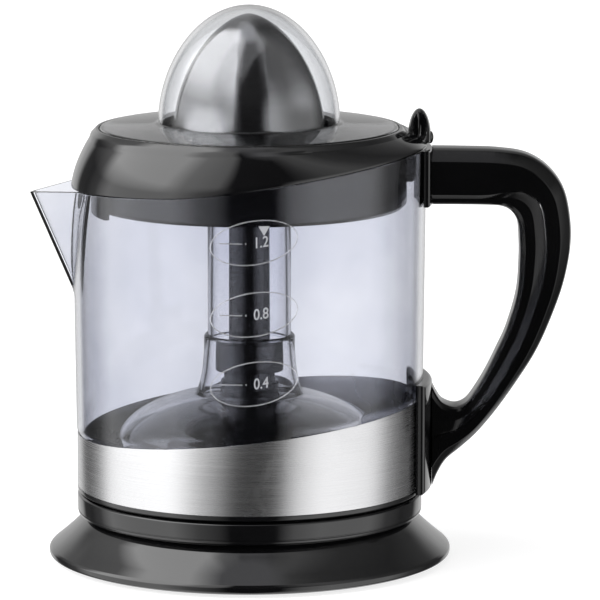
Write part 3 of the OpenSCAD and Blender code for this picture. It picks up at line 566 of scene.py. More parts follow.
# %% Posts inside the base body
POST_R, BOSS_R = 43.0, 62.5
bm = bmesh.new()
for turn in range(4):
    post = bmesh.ops.create_cone(bm, cap_ends=True, segments=32, radius1=3.4 * MM,
                                 radius2=3.4 * MM, depth=6 * MM)["verts"]
    bmesh.ops.translate(bm, verts=post, vec=(POST_R * MM, 0, 47.5 * MM))
    web = bmesh.ops.create_cube(bm, size=MM)["verts"]
    bmesh.ops.scale(bm, verts=web, vec=(5, 3, 6))
    bmesh.ops.translate(bm, verts=web, vec=((POST_R + 2.5) * MM, 0, 47.5 * MM))
    boss = bmesh.ops.create_cube(bm, size=MM)["verts"]
    bmesh.ops.scale(bm, verts=boss, vec=(6.8, 7.2, 6.6))
    bmesh.ops.translate(bm, verts=boss, vec=((BOSS_R - 0.2) * MM, 0, 21.9 * MM))
    bmesh.ops.rotate(bm, verts=boss, cent=(0, 0, 0), matrix=Matrix.Rotation(math.pi / 4, 3, "Z"))
    bmesh.ops.rotate(bm, verts=post + web + boss, cent=(0, 0, 0),
                     matrix=Matrix.Rotation(math.pi / 2 * turn, 3, "Z"))
corners = [e for e in bm.edges if e.calc_face_angle(0) > math.radians(50)]
ease(bm, corners, 0.4)
bmesh.ops.recalc_face_normals(bm, faces=bm.faces)
add_piece("body_posts", bm, "base", gloss_black, "base_housing", slot="black_gloss")

# %% [markdown]
# ## Jug: base ring and steel band
# A black ring carries the jug on the seat. The thin stainless band is wrapped round the
# wall and its top edge rises towards the handle, so the spun tube is cut by a leaning
# plane and the cut is bridged shut again. Its inner faces take a much darker, duller steel
# without the brushed lines.

# %% Jug base ring and steel band
ring_outline = rounded([
    (61.0, SEAT_Z, 0.3), (BODY_R - 0.5, SEAT_Z, 0.2), (BODY_R, SEAT_Z + 0.5, 0.4),
    (BODY_R, JUG_FOOT_Z - 0.05, 0.15), (65.0, JUG_FOOT_Z - 0.05), (65.0, 31.7, 0.2),
    (61.0, 31.7, 0.3)])
add_piece("jug_foot_ring", spun(ring_outline, 256), "jug", gloss_black, "jug_base_ring",
          slot="black_gloss")


def cut_above(bm, mid_z, slope_of):
    """Takes away what is above a plane that rises towards the handle."""
    normal = Vector((-slope_of, 0, 1)).normalized()
    bmesh.ops.bisect_plane(bm, geom=bm.verts[:] + bm.edges[:] + bm.faces[:], dist=1e-7,
                           plane_co=(0, 0, mid_z * MM), plane_no=normal, clear_outer=True)


band = spun([(BODY_R - 0.55, JUG_FOOT_Z), (BODY_R - 0.12, JUG_FOOT_Z), (BODY_R, JUG_FOOT_Z + 0.12),
             (BODY_R, 72.0), (BODY_R - 0.55, 72.0)], 256)
cut_above(band, BAND_MID_Z, BAND_SLOPE)
loops = [e for e in band.edges if e.is_boundary]
bmesh.ops.bridge_loops(band, edges=loops)
rim = [e for e in band.edges if e.calc_face_angle(0) > math.radians(40)
       and e.verts[0].co.z > 45 * MM]
ease(band, rim, 0.14)
bmesh.ops.recalc_face_normals(band, faces=band.faces)
band = add_piece("brushed_band", band, "jug", band_steel, "steel_band", slot="brushed_steel")
# faces that look towards the axis take the much darker steel
band.data.materials.append(band_back)
for face in band.data.polygons:
    if face.normal.xy.dot(face.center.xy) < 0:
        face.material_index = 1

# %% [markdown]
# ## Jug wall and spout
# The wall is spun with many rows and then pressed into shape: near the spout every point
# is pushed out onto two flat sides that meet in a leaning edge, the way a spout is formed
# in the mould. The same push moves outer and inner skin, so the wall keeps its thickness.
# The rows are squeezed towards the sloping rim, which needs no cut.

# %% Jug wall
SPOUT_FOOT_Z, SPOUT_TIP_Z = 109.0, 149.6
LEAN = (SPOUT_TIP - BODY_R - 0.5) / (SPOUT_TIP_Z - SPOUT_FOOT_Z)


def wall_r(z):
    return BODY_R + (JUG_TOP_R - BODY_R) * (z - JUG_FOOT_Z) / (WALL_TOP_Z - JUG_FOOT_Z)


def spout_r(z, turn, inset):
    """Distance from the axis to the spout's two flat sides, at an angle from its edge."""
    edge = BODY_R + 0.5 + LEAN * (z - SPOUT_FOOT_Z) - inset
    side = math.sqrt(math.sin(turn) ** 2 + 0.012 ** 2) - 0.012
    return edge / (math.cos(turn) + side)


def smooth_max(a, b, blend):
    share = max(blend - abs(a - b), 0) / blend
    return max(a, b) + share * share * blend / 4


def press_wall(v):
    """Moves a vertex of the plain ring onto the spouted wall under the sloping rim."""
    flat = math.hypot(v.co.x, v.co.y) / MM
    turn = math.atan2(v.co.y, -v.co.x)
    share = (v.co.z / MM - JUG_FOOT_Z) / (WALL_TOP_Z - JUG_FOOT_Z)
    inset = wall_r(v.co.z / MM) - flat
    radius, z = flat, v.co.z / MM
    for _ in range(4):
        x = -radius * math.cos(turn)
        z = JUG_FOOT_Z + share * (RIM_MID_Z + rim_lift(x) - JUG_FOOT_Z)
        radius = wall_r(z) - inset
        if abs(turn) < math.radians(60):
            radius = smooth_max(radius, spout_r(z, turn, inset), 1.2)
    v.co = Vector((-radius * math.cos(turn), radius * math.sin(turn), z)) * MM


def upright(r_at, z0, z1, rows):
    return [(r_at(z0 + (z1 - z0) * i / rows), z0 + (z1 - z0) * i / rows) for i in range(rows + 1)]


wall_outline = rounded([
    (BODY_R - 0.6, JUG_FOOT_Z, 0.2), *upright(wall_r, JUG_FOOT_Z + 1, WALL_TOP_Z - 0.9, 64),
    (wall_r(WALL_TOP_Z), WALL_TOP_Z, 0.8), (wall_r(WALL_TOP_Z) - JUG_WALL, WALL_TOP_Z, 0.8),
    *upright(lambda z: wall_r(z) - JUG_WALL, WALL_TOP_Z - 0.9, JUG_FOOT_Z + 1, 64),
    (BODY_R - 3.0, JUG_FOOT_Z, 0.2)])
wall = spun(wall_outline, 320)
for v in wall.verts:
    press_wall(v)
# the band lies in a shallow step, so the wall behind it keeps clear of it
STEP_R = BODY_R - 0.65
for v in wall.verts:
    behind_band = v.co.z / MM < BAND_MID_Z + 0.4 + BAND_SLOPE * v.co.x / MM
    flat = math.hypot(v.co.x, v.co.y) / MM
    if behind_band and flat > STEP_R:
        v.co.x *= STEP_R / flat
        v.co.y *= STEP_R / flat
add_piece("jug_shell", wall, "jug", clear_jug, "jug_wall", slot="clear_jug")

# %% [markdown]
# ## Jug well and tube
# The floor rises in a clear bell over the motor dome and ends in a socket. A clear tube is
# bonded into the socket and keeps the juice away from the spindle. Its step shows as the
# dark double ring half-way up.

# %% Jug well and tube
BELL_R, BELL_Z, BELL_H = 55.6, 47.0, 23.5
FLOOR_Z = 34.0
STEP_Z, SOCKET_R = 93.0, 18.7
bell_end = math.acos(22.4 / BELL_R)
bell_in_end = math.acos(20.0 / (BELL_R - SKIN))
flare = [(21.6, 69.8), (20.4, 73.0), (19.4, 78.0), (SOCKET_R, 86.0)]
well_outline = rounded([
    (68.05, FLOOR_Z - 2.2, 0.3), (68.05, FLOOR_Z + 1.0, 0.2), (66.5, FLOOR_Z, 1.0),
    (58.5, FLOOR_Z, 1.5), (BELL_R + 0.6, FLOOR_Z + 2.0, 1.5),
    *arc(BELL_R, BELL_H, BELL_Z, 0, bell_end, 36), *[(*p, 4.0) for p in flare[:2]],
    *flare[2:], (SOCKET_R, STEP_Z - 0.8, 0.6), (SOCKET_R - 0.7, STEP_Z, 0.4),
    (TUBE_R + 0.05, STEP_Z), (TUBE_R + 0.05, STEP_Z - 1.5), (SOCKET_R - 2.0, STEP_Z - 1.5, 0.3),
    *[(r - 2.0, z - 0.6) for r, z in reversed(flare)],
    *arc(BELL_R - SKIN, BELL_H - 2.3, BELL_Z, bell_in_end, 0, 30),
    (BELL_R - SKIN, FLOOR_Z - 2.2, 0.3)])
add_piece("jug_bell", spun(well_outline), "jug", clear_tube, "jug_well", slot="clear_jug")
tube_outline = rounded([
    (TUBE_R, STEP_Z - 1.45, 0.2), (TUBE_R, TUBE_TOP_Z, 0.7), (TUBE_R - 2, TUBE_TOP_Z, 0.7),
    (TUBE_R - 2, STEP_Z - 1.45, 0.2)])
add_piece("spindle_tube", spun(tube_outline, 128), "jug", clear_tube, "jug_tube",
          slot="clear_jug")

# %% [markdown]
# ## Spindle
# What shows through the tube is the black sleeve on the steel spindle and the cap that
# throws off drips. The cap is a turned bell with a hollow underside; the sleeve ends in a
# hexagon that drives the cone.

# %% Spindle sleeve and drip cap
CAP_R, CAP_FOOT_Z, CAP_TOP_Z = 14.0, 78.0, 90.0
cap_outline = rounded([
    (CAP_R - 1.6, CAP_FOOT_Z, 0.3), (CAP_R, CAP_FOOT_Z, 0.5), (CAP_R, CAP_TOP_Z - 0.1, 0.8),
    (4.0, CAP_TOP_Z - 0.1), (4.0, 87.3), (CAP_R - 1.6, 87.3, 0.6)])
add_piece("drip_bell", spun(cap_outline, 128), "spindle", satin_black, "drip_cap",
          slot="black_satin")
SLEEVE_R, HEX_FOOT_Z, HEX_TOP_Z = 8.4, 146.0, top_of("spindle_sleeve")
HEX_R = 11 / math.sqrt(3)
sleeve = spun(rounded([(4.05, 90.1), (SLEEVE_R, 90.1, 0.3), (SLEEVE_R, HEX_FOOT_Z, 0.6),
                       (6.2, HEX_FOOT_Z + 0.02), (4.05, HEX_FOOT_Z - 0.5)]), 96)
hexagon = bmesh.ops.create_cone(sleeve, cap_ends=True, segments=6, radius1=HEX_R * MM,
                                radius2=HEX_R * MM, depth=(HEX_TOP_Z - HEX_FOOT_Z) * MM)["verts"]
bmesh.ops.translate(sleeve, verts=hexagon, vec=(0, 0, (HEX_TOP_Z + HEX_FOOT_Z) / 2 * MM))
hex_edges = {e for v in hexagon for e in v.link_edges}
ease(sleeve, list(hex_edges), 0.5)
bmesh.ops.recalc_face_normals(sleeve, faces=sleeve.faces)
add_piece("spindle_cover", sleeve, "spindle", satin_black, "spindle_sleeve",
          slot="black_satin")

# %% [markdown]
# ## Lid
# The lid's flank is a ring that leans inwards; its lower edge follows the jug's rim, which
# slopes and then levels out towards the spout. It is spun flat and then sheared: a point low
# on the flank moves by the whole slope, a point at the level top by nothing.

# %% Lid flank
RIM_R, RIM_IN_R, LEDGE_R, LEDGE_Z, BOWL_TOP_Z = 62.6, 61.5, 60.2, 176.4, 173.2
LOW_Z = RIM_MID_Z + 0.3


def flank(r_low, r_top, top_z, steps):
    """The flank's curve, from the lower edge up: it starts upright and closes in."""
    return [(r_top + (r_low - r_top) * (1 - (i / steps) ** 1.6),
             LOW_Z + (top_z - LOW_Z) * i / steps) for i in range(steps + 1)]


outer = flank(FLANK_R, RIM_R, LID_TOP_Z, 22)
inner = flank(FLANK_R - 2.4, 64.9, BOWL_TOP_Z, 10)
lid_outline = rounded([
    (FLANK_R, LOW_Z, 0.5), *outer[1:-1], (*outer[-1], 0.35), (RIM_IN_R, LID_TOP_Z, 0.35),
    (RIM_IN_R, LEDGE_Z, 0.2), (LEDGE_R, LEDGE_Z, 0.3), (LEDGE_R, BOWL_TOP_Z + 0.8),
    (61.0, BOWL_TOP_Z, 0.4), *reversed(inner[1:]), (FLANK_R - 2.4, LOW_Z, 0.5)])
lid = spun(lid_outline, 256)
for v in lid.verts:
    lean = max(0.0, min(1.0, (LID_TOP_Z - v.co.z / MM) / (LID_TOP_Z - LOW_Z)))
    if math.hypot(v.co.x, v.co.y) / MM < 64.8 and v.co.z / MM < LID_TOP_Z - 0.5:
        lean = 0.0
    v.co.z += rim_lift(v.co.x / MM) * lean * MM
bmesh.ops.recalc_face_normals(lid, faces=lid.faces)
add_piece("lid_flank", lid, "collector", gloss_black, "lid_rim", slot="black_gloss")

# %% [markdown]
# ## Juice bowl
# Under the lid hangs the bowl: a skirt inside the jug, a floor with four wide outlets and
# a collar that the cone turns in. The outlets are left open by spinning the floor in four
# spokes between two rings.

# %% Juice bowl
SKIRT_R, SKIRT_FOOT_Z, BOWL_R = 64.6, 146.4, 62.0
COLLAR_R, PLUG_R, BUSH_R = 13.2, 14.7, 11.05
FLOOR_TOP_Z = SKIRT_FOOT_Z + 2.2
skirt_outline = rounded([
    (57.0, SKIRT_FOOT_Z, 0.3), (SKIRT_R - 2.0, SKIRT_FOOT_Z, 0.6),
    (SKIRT_R, SKIRT_FOOT_Z + 1.8, 1.6), (SKIRT_R, BOWL_TOP_Z, 0.3), (BOWL_R, BOWL_TOP_Z, 0.3),
    (BOWL_R, 168.0, 0.3),
    (57.5, 168.0, 0.4), (57.5, 166.3, 0.3), (BOWL_R, 165.5, 0.5), (BOWL_R, FLOOR_TOP_Z + 1.8, 1.5),
    (BOWL_R - 2, FLOOR_TOP_Z, 1.0), (57.0, FLOOR_TOP_Z, 0.3)])
bowl = spun(skirt_outline, 256)
collar_outline = rounded([
    (20.0, SKIRT_FOOT_Z, 0.3), (PLUG_R, SKIRT_FOOT_Z, 0.5), (PLUG_R, 140.4, 0.3), (14.1, 140.0),
    (9.7, 140.0, 0.3), (9.7, 147.4, 0.2), (BUSH_R, 147.4), (BUSH_R, 170.0, 0.3),
    (COLLAR_R, 170.0, 0.4), (COLLAR_R + 0.8, FLOOR_TOP_Z, 1.5), (20.0, FLOOR_TOP_Z, 0.3)])


def join_into(target, source):
    """Copies one bmesh into another."""
    carrier = bpy.data.meshes.new("carrier")
    source.to_mesh(carrier)
    source.free()
    target.from_mesh(carrier)
    bpy.data.meshes.remove(carrier)


join_into(bowl, spun(collar_outline, 128))
for turn in range(4):
    spoke = rounded([(19.9, SKIRT_FOOT_Z), (57.1, SKIRT_FOOT_Z), (57.1, FLOOR_TOP_Z),
                     (19.9, FLOOR_TOP_Z)])
    join_into(bowl, spun(spoke, 12, 18.0, 36.0 + 90 * turn))
tab = [(SKIRT_R - 2.2, 144.2, 0.4), (SKIRT_R, 144.2, 0.4), (SKIRT_R, 149.0), (SKIRT_R - 2.2, 149.0)]
join_into(bowl, spun(rounded(tab), 40, 54.0, 153.0))
tongue = [(SKIRT_R - 1.0, 158.5), (68.4, 158.5, 0.8), (68.4, 168.0), (SKIRT_R - 1.0, 168.0)]
join_into(bowl, spun(rounded(tongue), 24, 32.0, -16.0))
add_piece("juice_bowl", bowl, "collector", gloss_black, "collector", slot="black_gloss")

# %% [markdown]
# ## Thumb rest
# The thumb lifts the lid by a small upright fin over the handle: half a stretched ball, cut
# flat at its foot, with an oval hollow pressed into each side. A small bead beside it
# locates the lid.

# %% Thumb rest
bm = bmesh.new()
bmesh.ops.create_uvsphere(bm, u_segments=64, v_segments=48, radius=1.0)
SCOOP_AT, SCOOP_FOOT_Z = Vector((69.6, 0, 174.4)), 172.6
SCOOP_SIZE = Vector((4.7, 9.0, top_of("thumb_tab") - 174.4 - 0.1))
for v in bm.verts:
    oval = 1 - (v.co.x / 0.60) ** 2 - ((v.co.z - 0.40) / 0.50) ** 2
    hollow = 0.75 * max(0.0, oval) ** 0.6
    slim = 1 - 0.12 * max(0.0, v.co.z) ** 2
    v.co = Vector((v.co.x * SCOOP_SIZE.x, v.co.y * slim * (1 - hollow) * SCOOP_SIZE.y,
                   v.co.z * SCOOP_SIZE.z)) + SCOOP_AT
    v.co.z = max(v.co.z, SCOOP_FOOT_Z)
    v.co *= MM
bead = bmesh.ops.create_uvsphere(bm, u_segments=24, v_segments=16, radius=1.0)["verts"]
bmesh.ops.scale(bm, verts=bead, vec=(1.4 * MM, 1.9 * MM, 2.6 * MM))
bmesh.ops.translate(bm, verts=bead, vec=(74.0 * MM, 0, 174.2 * MM))
bmesh.ops.recalc_face_normals(bm, faces=bm.faces)
add_piece("thumb_scoop", bm, "collector", gloss_black, "thumb_tab", slot="black_gloss",
          sharp=50)

# %% [markdown]
# ## Reamer cone
# The cone is pressed from thin stainless sheet: four ribs stand between scallops that the
# fruit is squeezed against. It is spun as a plain pointed dome and the scallops are pressed
# in, deepest half-way between the ribs. On the tip they run out in crisp arcs.

# %% Reamer cone
CONE_FOOT_Z, CONE_CURVE_Z, SHEET = 174.0, 176.0, 0.8
RIB_HALF, RIB_TURN, SCALLOP = 14.0, 3.0, 0.14


def cone_share(u):
    return max(0.0, 1 - u ** 1.85) ** 0.6


def dip(u, turn_deg):
    """How deep the scallop is: it starts at the foot and runs out in an arc on the tip."""
    across = abs((turn_deg - RIB_TURN + 45) % 90 - 45)
    share = max(0.0, (across - RIB_HALF) / (45 - RIB_HALF))
    rise = min(1.0, max(0.0, (u - 0.04) / 0.26))
    tip = max(0.0, (u - 0.60) / 0.31) ** 2
    return max(0.0, math.sin(math.pi / 2 * share) * math.sin(math.pi / 2 * rise) - tip)


levels = [math.sin(math.pi / 2 * i / 90) for i in range(91)]
height = CONE_TOP_Z - CONE_CURVE_Z
outer = [(CONE_R * cone_share(u), CONE_CURVE_Z + height * u) for u in levels]
inner = [((CONE_R - SHEET) * cone_share(u), CONE_CURVE_Z + (height - SHEET) * u) for u in levels]
cone_outline = [(0.0, CONE_TOP_Z), *reversed(outer[:-1]), (CONE_R, CONE_FOOT_Z + 0.2),
                (CONE_R - 0.2, CONE_FOOT_Z), (CONE_R - SHEET, CONE_FOOT_Z), *inner[:-1],
                (0.0, CONE_TOP_Z - SHEET)]
cone = spun(cone_outline, 288, closed=False)
for v in cone.verts:
    u = (v.co.z / MM - CONE_CURVE_Z) / height
    if 0 < u < 1:
        push = 1 - SCALLOP * dip(u, math.degrees(math.atan2(v.co.y, v.co.x)))
        v.co.x *= push
        v.co.y *= push
bmesh.ops.recalc_face_normals(cone, faces=cone.faces)
add_piece("reamer", cone, "cone", cone_steel, "cone_shell", slot="polished_steel", sharp=14)

# %% [markdown]
# ## Clear cover
# The dust cover stands on a ledge inside the lid. Its flange rises gently to the dome,
# whose foot has a small bead, and the wall is an even 1.7 millimetres.

# %% Clear cover
COVER_R, COVER_FOOT_Z, COVER_WALL = 37.2, 181.0, 1.7
cover_h = DOME_TOP_Z - COVER_FOOT_Z


def cover_curve(r, h, count):
    """Points from the foot up to the axis, close together towards the top."""
    shares = [math.sin(math.pi / 2 * i / count) for i in range(count + 1)]
    return [(r * math.sqrt(max(0.0, 1 - u ** 1.85)), COVER_FOOT_Z + h * u) for u in shares]


cover_outline = rounded([
    *reversed(cover_curve(COVER_R, cover_h, 44)[1:]), (COVER_R, COVER_FOOT_Z),
    (COVER_R + 0.4, 180.6, 0.4), (COVER_R + 1.6, 180.4, 0.8), (60.6, 178.8, 0.4),
    (61.1, 178.3, 0.3), (61.1, LEDGE_Z, 0.2), (59.5, LEDGE_Z, 0.2), (59.5, 177.2, 0.4),
    (COVER_R - 0.7, 178.9, 0.8), (COVER_R - 1.7, 180.4),
    *cover_curve(COVER_R - COVER_WALL, cover_h - COVER_WALL, 44)], closed=False)
add_piece("dust_cover", spun(cover_outline, 256, closed=False), "cover", clear_cover,
          "dome_cover", slot="clear_cover")

# %% [markdown]
# ## Handle
# The handle is two shells: a broad outer frame with a chamfer along its back, and a
# narrower inner grip whose sides slope out to meet it. Both are extruded from station to
# station along the same smooth line, which is how such a swept grip is drawn.

# %% The handle's line
STATIONS = [
    ((73.2, 147.3), (73.6, 170.5)), ((84, 147.3), (88, 170.3)), ((97, 147.1), (102, 169.8)),
    ((103.4, 146.5), (113.5, 167.8)), ((107.4, 144.2), (122.5, 162.2)),
    ((109.8, 139.8), (128.6, 153.6)), ((110.5, 132.5), (131.3, 142)),
    ((110.6, 124), (131.6, 130)), ((109.6, 110.5), (128.9, 114.9)),
    ((105.6, 96), (123.8, 100)), ((101.2, 86), (117.8, 86.5)), ((96.9, 77.2), (110.2, 74.2)),
    ((92.6, 69.9), (101.5, 61.8)), ((88.8, 65), (93.5, 52.2)), ((84.4, 63.4), (86.8, 46)),
    ((79.6, 65.1), (81, 41)), ((77, 68.4), (77.6, 35.5)), ((75, 72.4), (75.2, 29.5))]
HALF, ROOT_R, PER_STATION, SEAM, ARM_SEAM = 11.5, 75.25, 9, 0.5, 0.20


def on_spline(side, t):
    """A point of the Catmull-Rom curve through one side's stations."""
    i = min(int(t), len(STATIONS) - 2)
    f = t - i
    pick = [STATIONS[min(max(i + k, 0), len(STATIONS) - 1)][side] for k in (-1, 0, 1, 2)]
    a, b, c, d = [Vector(p) for p in pick]
    return 0.5 * (2 * b + (c - a) * f + (2 * a - 5 * b + 4 * c - d) * f * f
                  + (3 * b - 3 * c + d - a) * f ** 3)


def seam_at(t):
    """Where the two shells meet: low under the top arm, half-way down the back."""
    return ARM_SEAM + (SEAM - ARM_SEAM) * smooth(t, 1.5, 5.0)


def swept(section):
    """Extrudes a section of (share from inner to outer, half width) along the handle."""
    ring = section + [(s, -w) for s, w in reversed(section)]
    count = (len(STATIONS) - 1) * PER_STATION

    def place(step):
        t = step / PER_STATION
        low, high, seam = on_spline(0, t), on_spline(1, t), seam_at(t)
        made = []
        for s, w in ring:
            s = s * seam / SEAM if s < 0.6 else s
            made.append(Vector((*(low + (high - low) * s), w)).xzy * MM)
        return made

    bm = bmesh.new()
    loop = [bm.verts.new(p) for p in place(0)]
    face = bm.faces.new(loop)
    for step in range(1, count + 1):
        made = bmesh.ops.extrude_face_region(bm, geom=[face])["geom"]
        face = next(g for g in made if isinstance(g, bmesh.types.BMFace))
        for v, p in zip(face.verts, place(step)):
            v.co = p
    for v in bm.verts:
        flat = math.hypot(v.co.x, v.co.y)
        if flat < ROOT_R * MM:
            v.co.x = math.sqrt((ROOT_R * MM) ** 2 - v.co.y ** 2)
    bmesh.ops.remove_doubles(bm, verts=bm.verts, dist=1e-6)
    bmesh.ops.recalc_face_normals(bm, faces=bm.faces)
    return bm


# %% Handle shells
frame_section = [(SEAM, HALF - 0.3), (SEAM + 0.015, HALF), (0.775, HALF), (0.79, HALF - 0.12),
                 (0.93, HALF - 3.4), (0.965, HALF - 4.6), (0.987, HALF - 6.0),
                 (0.997, HALF - 7.6), (1.0, HALF - 9.2)]
grip_section = [(0.0, 4.6), (0.012, 6.4), (0.05, 7.8), (0.11, 8.5), (0.30, 8.9), (0.32, 9.1),
                (0.47, HALF - 0.8), (SEAM - 0.01, HALF - 0.5)]
add_piece("handle_frame", swept(frame_section), "jug", handle_black, "handle_outer",
          slot="black_gloss", sharp=13)
add_piece("handle_grip", swept(grip_section), "jug", grip_black, "handle_inner",
          slot="black_satin", sharp=18)

# %% [markdown]
# ## Handle brackets
# Two curved pads hold the handle to the wall. Each is a part-turn of a flat bar: the lower
# one is tall and ends in rounded shoulders, the upper one sits right under the lid.

# %% Handle brackets


def bracket(name, node, half_deg, r_in, r_out, z0, z1, corner):
    bar = [(r_in, z0), (r_out, z0), (r_out, z1), (r_in, z1)]
    bm = spun(bar, 24, 2 * half_deg, -half_deg)
    edges = [e for e in bm.edges if e.calc_face_angle(0) > math.radians(40)
             and (e.verts[0].co.xy.length + e.verts[1].co.xy.length) / 2 > (r_out - 0.5) * MM]
    ease(bm, edges, corner, 5)
    bmesh.ops.recalc_face_normals(bm, faces=bm.faces)
    add_piece(name, bm, "jug", gloss_black, node, slot="black_gloss")


bracket("upper_pad", "handle_upper_bracket", 12, 72.6, 75.15, 147.3, 170.3, 0.8)
bracket("lower_pad", "handle_lower_bracket", 18, 71.55, 75.15, 29.4, 75.0, 1.6)

# %% [markdown]
# ## Volume marks
# The front of the wall carries three raised ovals with a short line, a dot and a number of
# litres, and a small arrow points at the highest mark. The lines are thin round beads laid
# on the wall. A flat drawing is wrapped round the jug: across becomes angle, up stays height.

# %% Volume marks
MARK_HEIGHTS = {141.6: "1.2", 112.8: "0.8", 84.8: "0.4"}
OVAL_AT, OVAL_W, OVAL_H, OVAL_TILT, OVAL_POINTS = 2.6, 17.6, 8.7, math.radians(9), 96
SQUEEZE, DIGIT_LEAN = 0.80, 0.12
ARROW_AT, ARROW_R, ARROW_RISE, ARROW_SUNK = (6.6, 147.0), 2.6, 0.25, 0.03


def wrap(across, up, out=0.0):
    """A point of the flat drawing laid on the front of the jug wall."""
    r = wall_r(up) + out
    turn = across / wall_r(up)
    return Vector((r * math.sin(turn), -r * math.cos(turn), up)) * MM


def mesh_of(curve):
    """The bmesh of a curve or a text, made through a short-lived object."""
    holder = bpy.data.objects.new("carrier", curve)
    bpy.context.scene.collection.objects.link(holder)
    made = bmesh.new()
    made.from_mesh(bpy.data.meshes.new_from_object(holder))
    bpy.data.objects.remove(holder)
    return made


def bead_line(points, width, closed):
    """A round bead along points in the flat drawing, as a bmesh."""
    curve = bpy.data.curves.new("bead", "CURVE")
    curve.dimensions = "3D"
    curve.bevel_depth = width * MM
    curve.bevel_resolution = 2
    curve.use_fill_caps = True
    line = curve.splines.new("POLY")
    line.points.add(len(points) - 1)
    line.use_cyclic_u = closed
    for p, (across, up) in zip(line.points, points):
        p.co = (*wrap(across, up, 0.02), 1)
    return mesh_of(curve)


def number(text, left, up, size):
    """Raised digits, wrapped on the wall after they are a mesh."""
    font = bpy.data.curves.new("digits", "FONT")
    font.body = text
    font.size = size
    font.extrude = 0.12
    font.bevel_depth = 0.05
    made = mesh_of(font)
    long_edges = [e for e in made.edges if e.calc_length() > 0.6]
    bmesh.ops.subdivide_edges(made, edges=long_edges, cuts=2, use_grid_fill=False)
    for v in made.verts:
        v.co = wrap(left + SQUEEZE * v.co.x, up + v.co.y + DIGIT_LEAN * v.co.x, 0.1 + v.co.z)
    return made


volume_marks, numbers = bmesh.new(), bmesh.new()
for up, text in MARK_HEIGHTS.items():
    oval = []
    for i in range(OVAL_POINTS):
        a = 2 * math.pi * i / OVAL_POINTS
        x, y = OVAL_W * math.cos(a), OVAL_H * math.sin(a)
        oval.append((OVAL_AT + x * math.cos(OVAL_TILT) - y * math.sin(OVAL_TILT),
                     up + x * math.sin(OVAL_TILT) + y * math.cos(OVAL_TILT)))
    join_into(volume_marks, bead_line(oval, 0.24, True))
    join_into(volume_marks, bead_line([(-11.2 + i, up - 0.4) for i in range(10)], 0.24, False))
    join_into(volume_marks, bead_line([(-0.9 + 0.25 * i, up - 0.4) for i in range(3)], 0.40, False))
    join_into(numbers, number(text, 2.4, up - 2.2, 6.2))
arrow = bmesh.new()
bmesh.ops.create_circle(arrow, cap_ends=True, segments=3, radius=ARROW_R,
                        matrix=Matrix.Rotation(math.pi, 4, "Z"))
raised = bmesh.ops.extrude_face_region(arrow, geom=arrow.faces[:])["geom"]
bmesh.ops.translate(arrow, verts=[g for g in raised if isinstance(g, bmesh.types.BMVert)],
                    vec=(0, 0, ARROW_RISE))
bmesh.ops.recalc_face_normals(arrow, faces=arrow.faces)
for v in arrow.verts:
    v.co = wrap(ARROW_AT[0] + v.co.x, ARROW_AT[1] + v.co.y, v.co.z - ARROW_SUNK)
join_into(numbers, arrow)
add_piece("volume_numbers", numbers, "jug", mark_white, slot="clear_jug", sharp=40)
add_piece("volume_marks", volume_marks, "jug", frosted, slot="clear_jug", sharp=40)

# %% [markdown]
# ## Floor and light
# A pale floor carries the soft shadow. The room is white to the eye and to what is seen
# straight through clear plastic, and every other ray sees a studio instead: wide bright
# panels left and right, a dark gap in front of the lens, dark edges behind and a bright panel
# above.

# %% Floor
floor_bm = bmesh.new()
bmesh.ops.create_grid(floor_bm, x_segments=1, y_segments=1, size=6.0)
floor_mesh = bpy.data.meshes.new("floor")
floor_bm.to_mesh(floor_mesh)
floor_bm.free()
floor = bpy.data.objects.new("floor", floor_mesh)
bpy.context.scene.collection.objects.link(floor)
paper, tree, shader, place = new_material("paper", Roughness=0.9)
shader.inputs["Base Color"].default_value = (0.45, 0.45, 0.45, 1)
shader.inputs["Specular IOR Level"].default_value = 0.0
shader.inputs["Emission Color"].default_value = (1, 1, 1, 1)
shader.inputs["Emission Strength"].default_value = 0.80
path = add_node(tree, "ShaderNodeLightPath")
mirrored = math_node(tree, "GREATER_THAN", path.outputs["Glossy Depth"], 0.5)
unseen = add_node(tree, "ShaderNodeBsdfTransparent")
both = add_node(tree, "ShaderNodeMixShader", {0: mirrored, 1: shader.outputs[0],
                2: unseen.outputs[0]})
tree.links.new(both.outputs[0], tree.nodes["Material Output"].inputs["Surface"])
floor_mesh.materials.append(paper)

# %% Studio seen by glossy surfaces
world = bpy.data.worlds.new("studio")
bpy.context.scene.world = world
world.use_nodes = True
tree = world.node_tree
tree.nodes.clear()
way = add_node(tree, "ShaderNodeTexCoord").outputs["Generated"]
axis = add_node(tree, "ShaderNodeSeparateXYZ", {0: way})
ahead = math_node(tree, "MULTIPLY", axis.outputs["Y"], -1.0)
turn = remap(tree, math_node(tree, "ARCTAN2", axis.outputs["X"], ahead), -math.pi, math.pi)
rise = math_node(tree, "DIVIDE", math_node(tree, "ARCSINE", axis.outputs["Z"]), math.pi / 2)


def ramp(tree, value, stops):
    """Brightness along value, through (degrees from the lens, brightness) stops."""
    made = add_node(tree, "ShaderNodeValToRGB", {0: value})
    elements = made.color_ramp.elements
    while len(elements) < len(stops):
        elements.new(0.5)
    for element, (at, bright) in zip(elements, stops):
        element.position = (at + 180) / 360
        element.color = (bright, bright, bright, 1)
    return made.outputs["Color"]


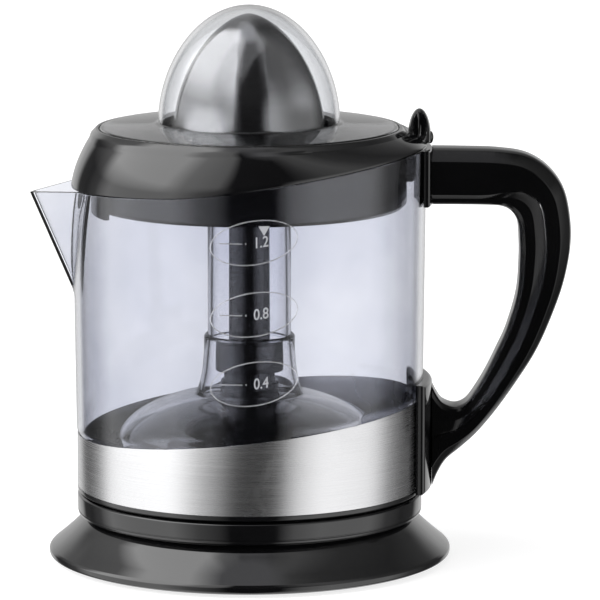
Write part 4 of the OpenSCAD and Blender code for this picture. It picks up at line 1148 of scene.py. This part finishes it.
around = ramp(tree, turn, (
    (-180, 0.14), (-160, 0.26), (-150, 0.24), (-143, 0.03), (-130, 0.03), (-118, 0.09),
    (-104, 0.42), (-52, 0.48), (-34, 0.20), (-20, 0.10), (-12, 0.008), (18, 0.008),
    (30, 0.28), (48, 0.42), (88, 0.36), (104, 0.10), (122, 0.03), (142, 0.03), (150, 0.22),
    (160, 0.26), (180, 0.14)))
overhead = ramp(tree, turn, (
    (-180, 0.17), (-150, 0.16), (-138, 0.14), (-122, 0.24), (-112, 0.95), (-62, 1.0),
    (-48, 0.50), (-25, 0.34), (-16, 0.015), (24, 0.015), (50, 0.16), (70, 0.20), (100, 0.08),
    (128, 0.04), (150, 0.06), (165, 0.10), (180, 0.17)))
mixed = colour_mix(tree, remap(tree, rise, 0.14, 0.30), around, overhead)
ceiling = math_node(tree, "MULTIPLY", remap(tree, rise, 0.80, 0.90),
                    remap(tree, axis.outputs["X"], 0.22, 0.10))
mixed = colour_mix(tree, ceiling, mixed, (0.24, 0.24, 0.25, 1))
SIDE_LIGHT, ROOM_LIGHT = 3.4, 1.0
path = add_node(tree, "ShaderNodeLightPath")
studio = add_node(tree, "ShaderNodeBackground", {"Color": mixed, "Strength": SIDE_LIGHT})
room = add_node(tree, "ShaderNodeBackground", {"Color": (1, 1, 1, 1), "Strength": ROOM_LIGHT})
straight = math_node(tree, "LESS_THAN", path.outputs["Glossy Depth"], 0.5)
through = math_node(tree, "MULTIPLY", path.outputs["Is Transmission Ray"], straight)
seen = math_node(tree, "MAXIMUM", path.outputs["Is Camera Ray"], through)
both = add_node(tree, "ShaderNodeMixShader", {0: seen, 1: studio.outputs[0],
                2: room.outputs[0]})
out = add_node(tree, "ShaderNodeOutputWorld")
tree.links.new(both.outputs[0], out.inputs["Surface"])


def panel(name, at, size, power, glossy):
    """A soft rectangular lamp that looks at the middle of the juicer."""
    lamp = bpy.data.lights.new(name, "AREA")
    lamp.shape = "RECTANGLE"
    lamp.size, lamp.size_y = size
    lamp.energy = power
    made = bpy.data.objects.new(name, lamp)
    bpy.context.scene.collection.objects.link(made)
    made.location = at
    made.rotation_euler = (Vector((0, 0, 0.1)) - Vector(at)).to_track_quat("-Z", "Y").to_euler()
    made.visible_glossy = glossy


panel("top_panel", (-0.3, -0.3, 1.6), (1.6, 1.6), 3.0, False)
panel("left_panel", (-1.3, -1.0, 0.7), (0.7, 1.1), 0.6, False)
bpy.context.scene.view_settings.view_transform = "Standard"
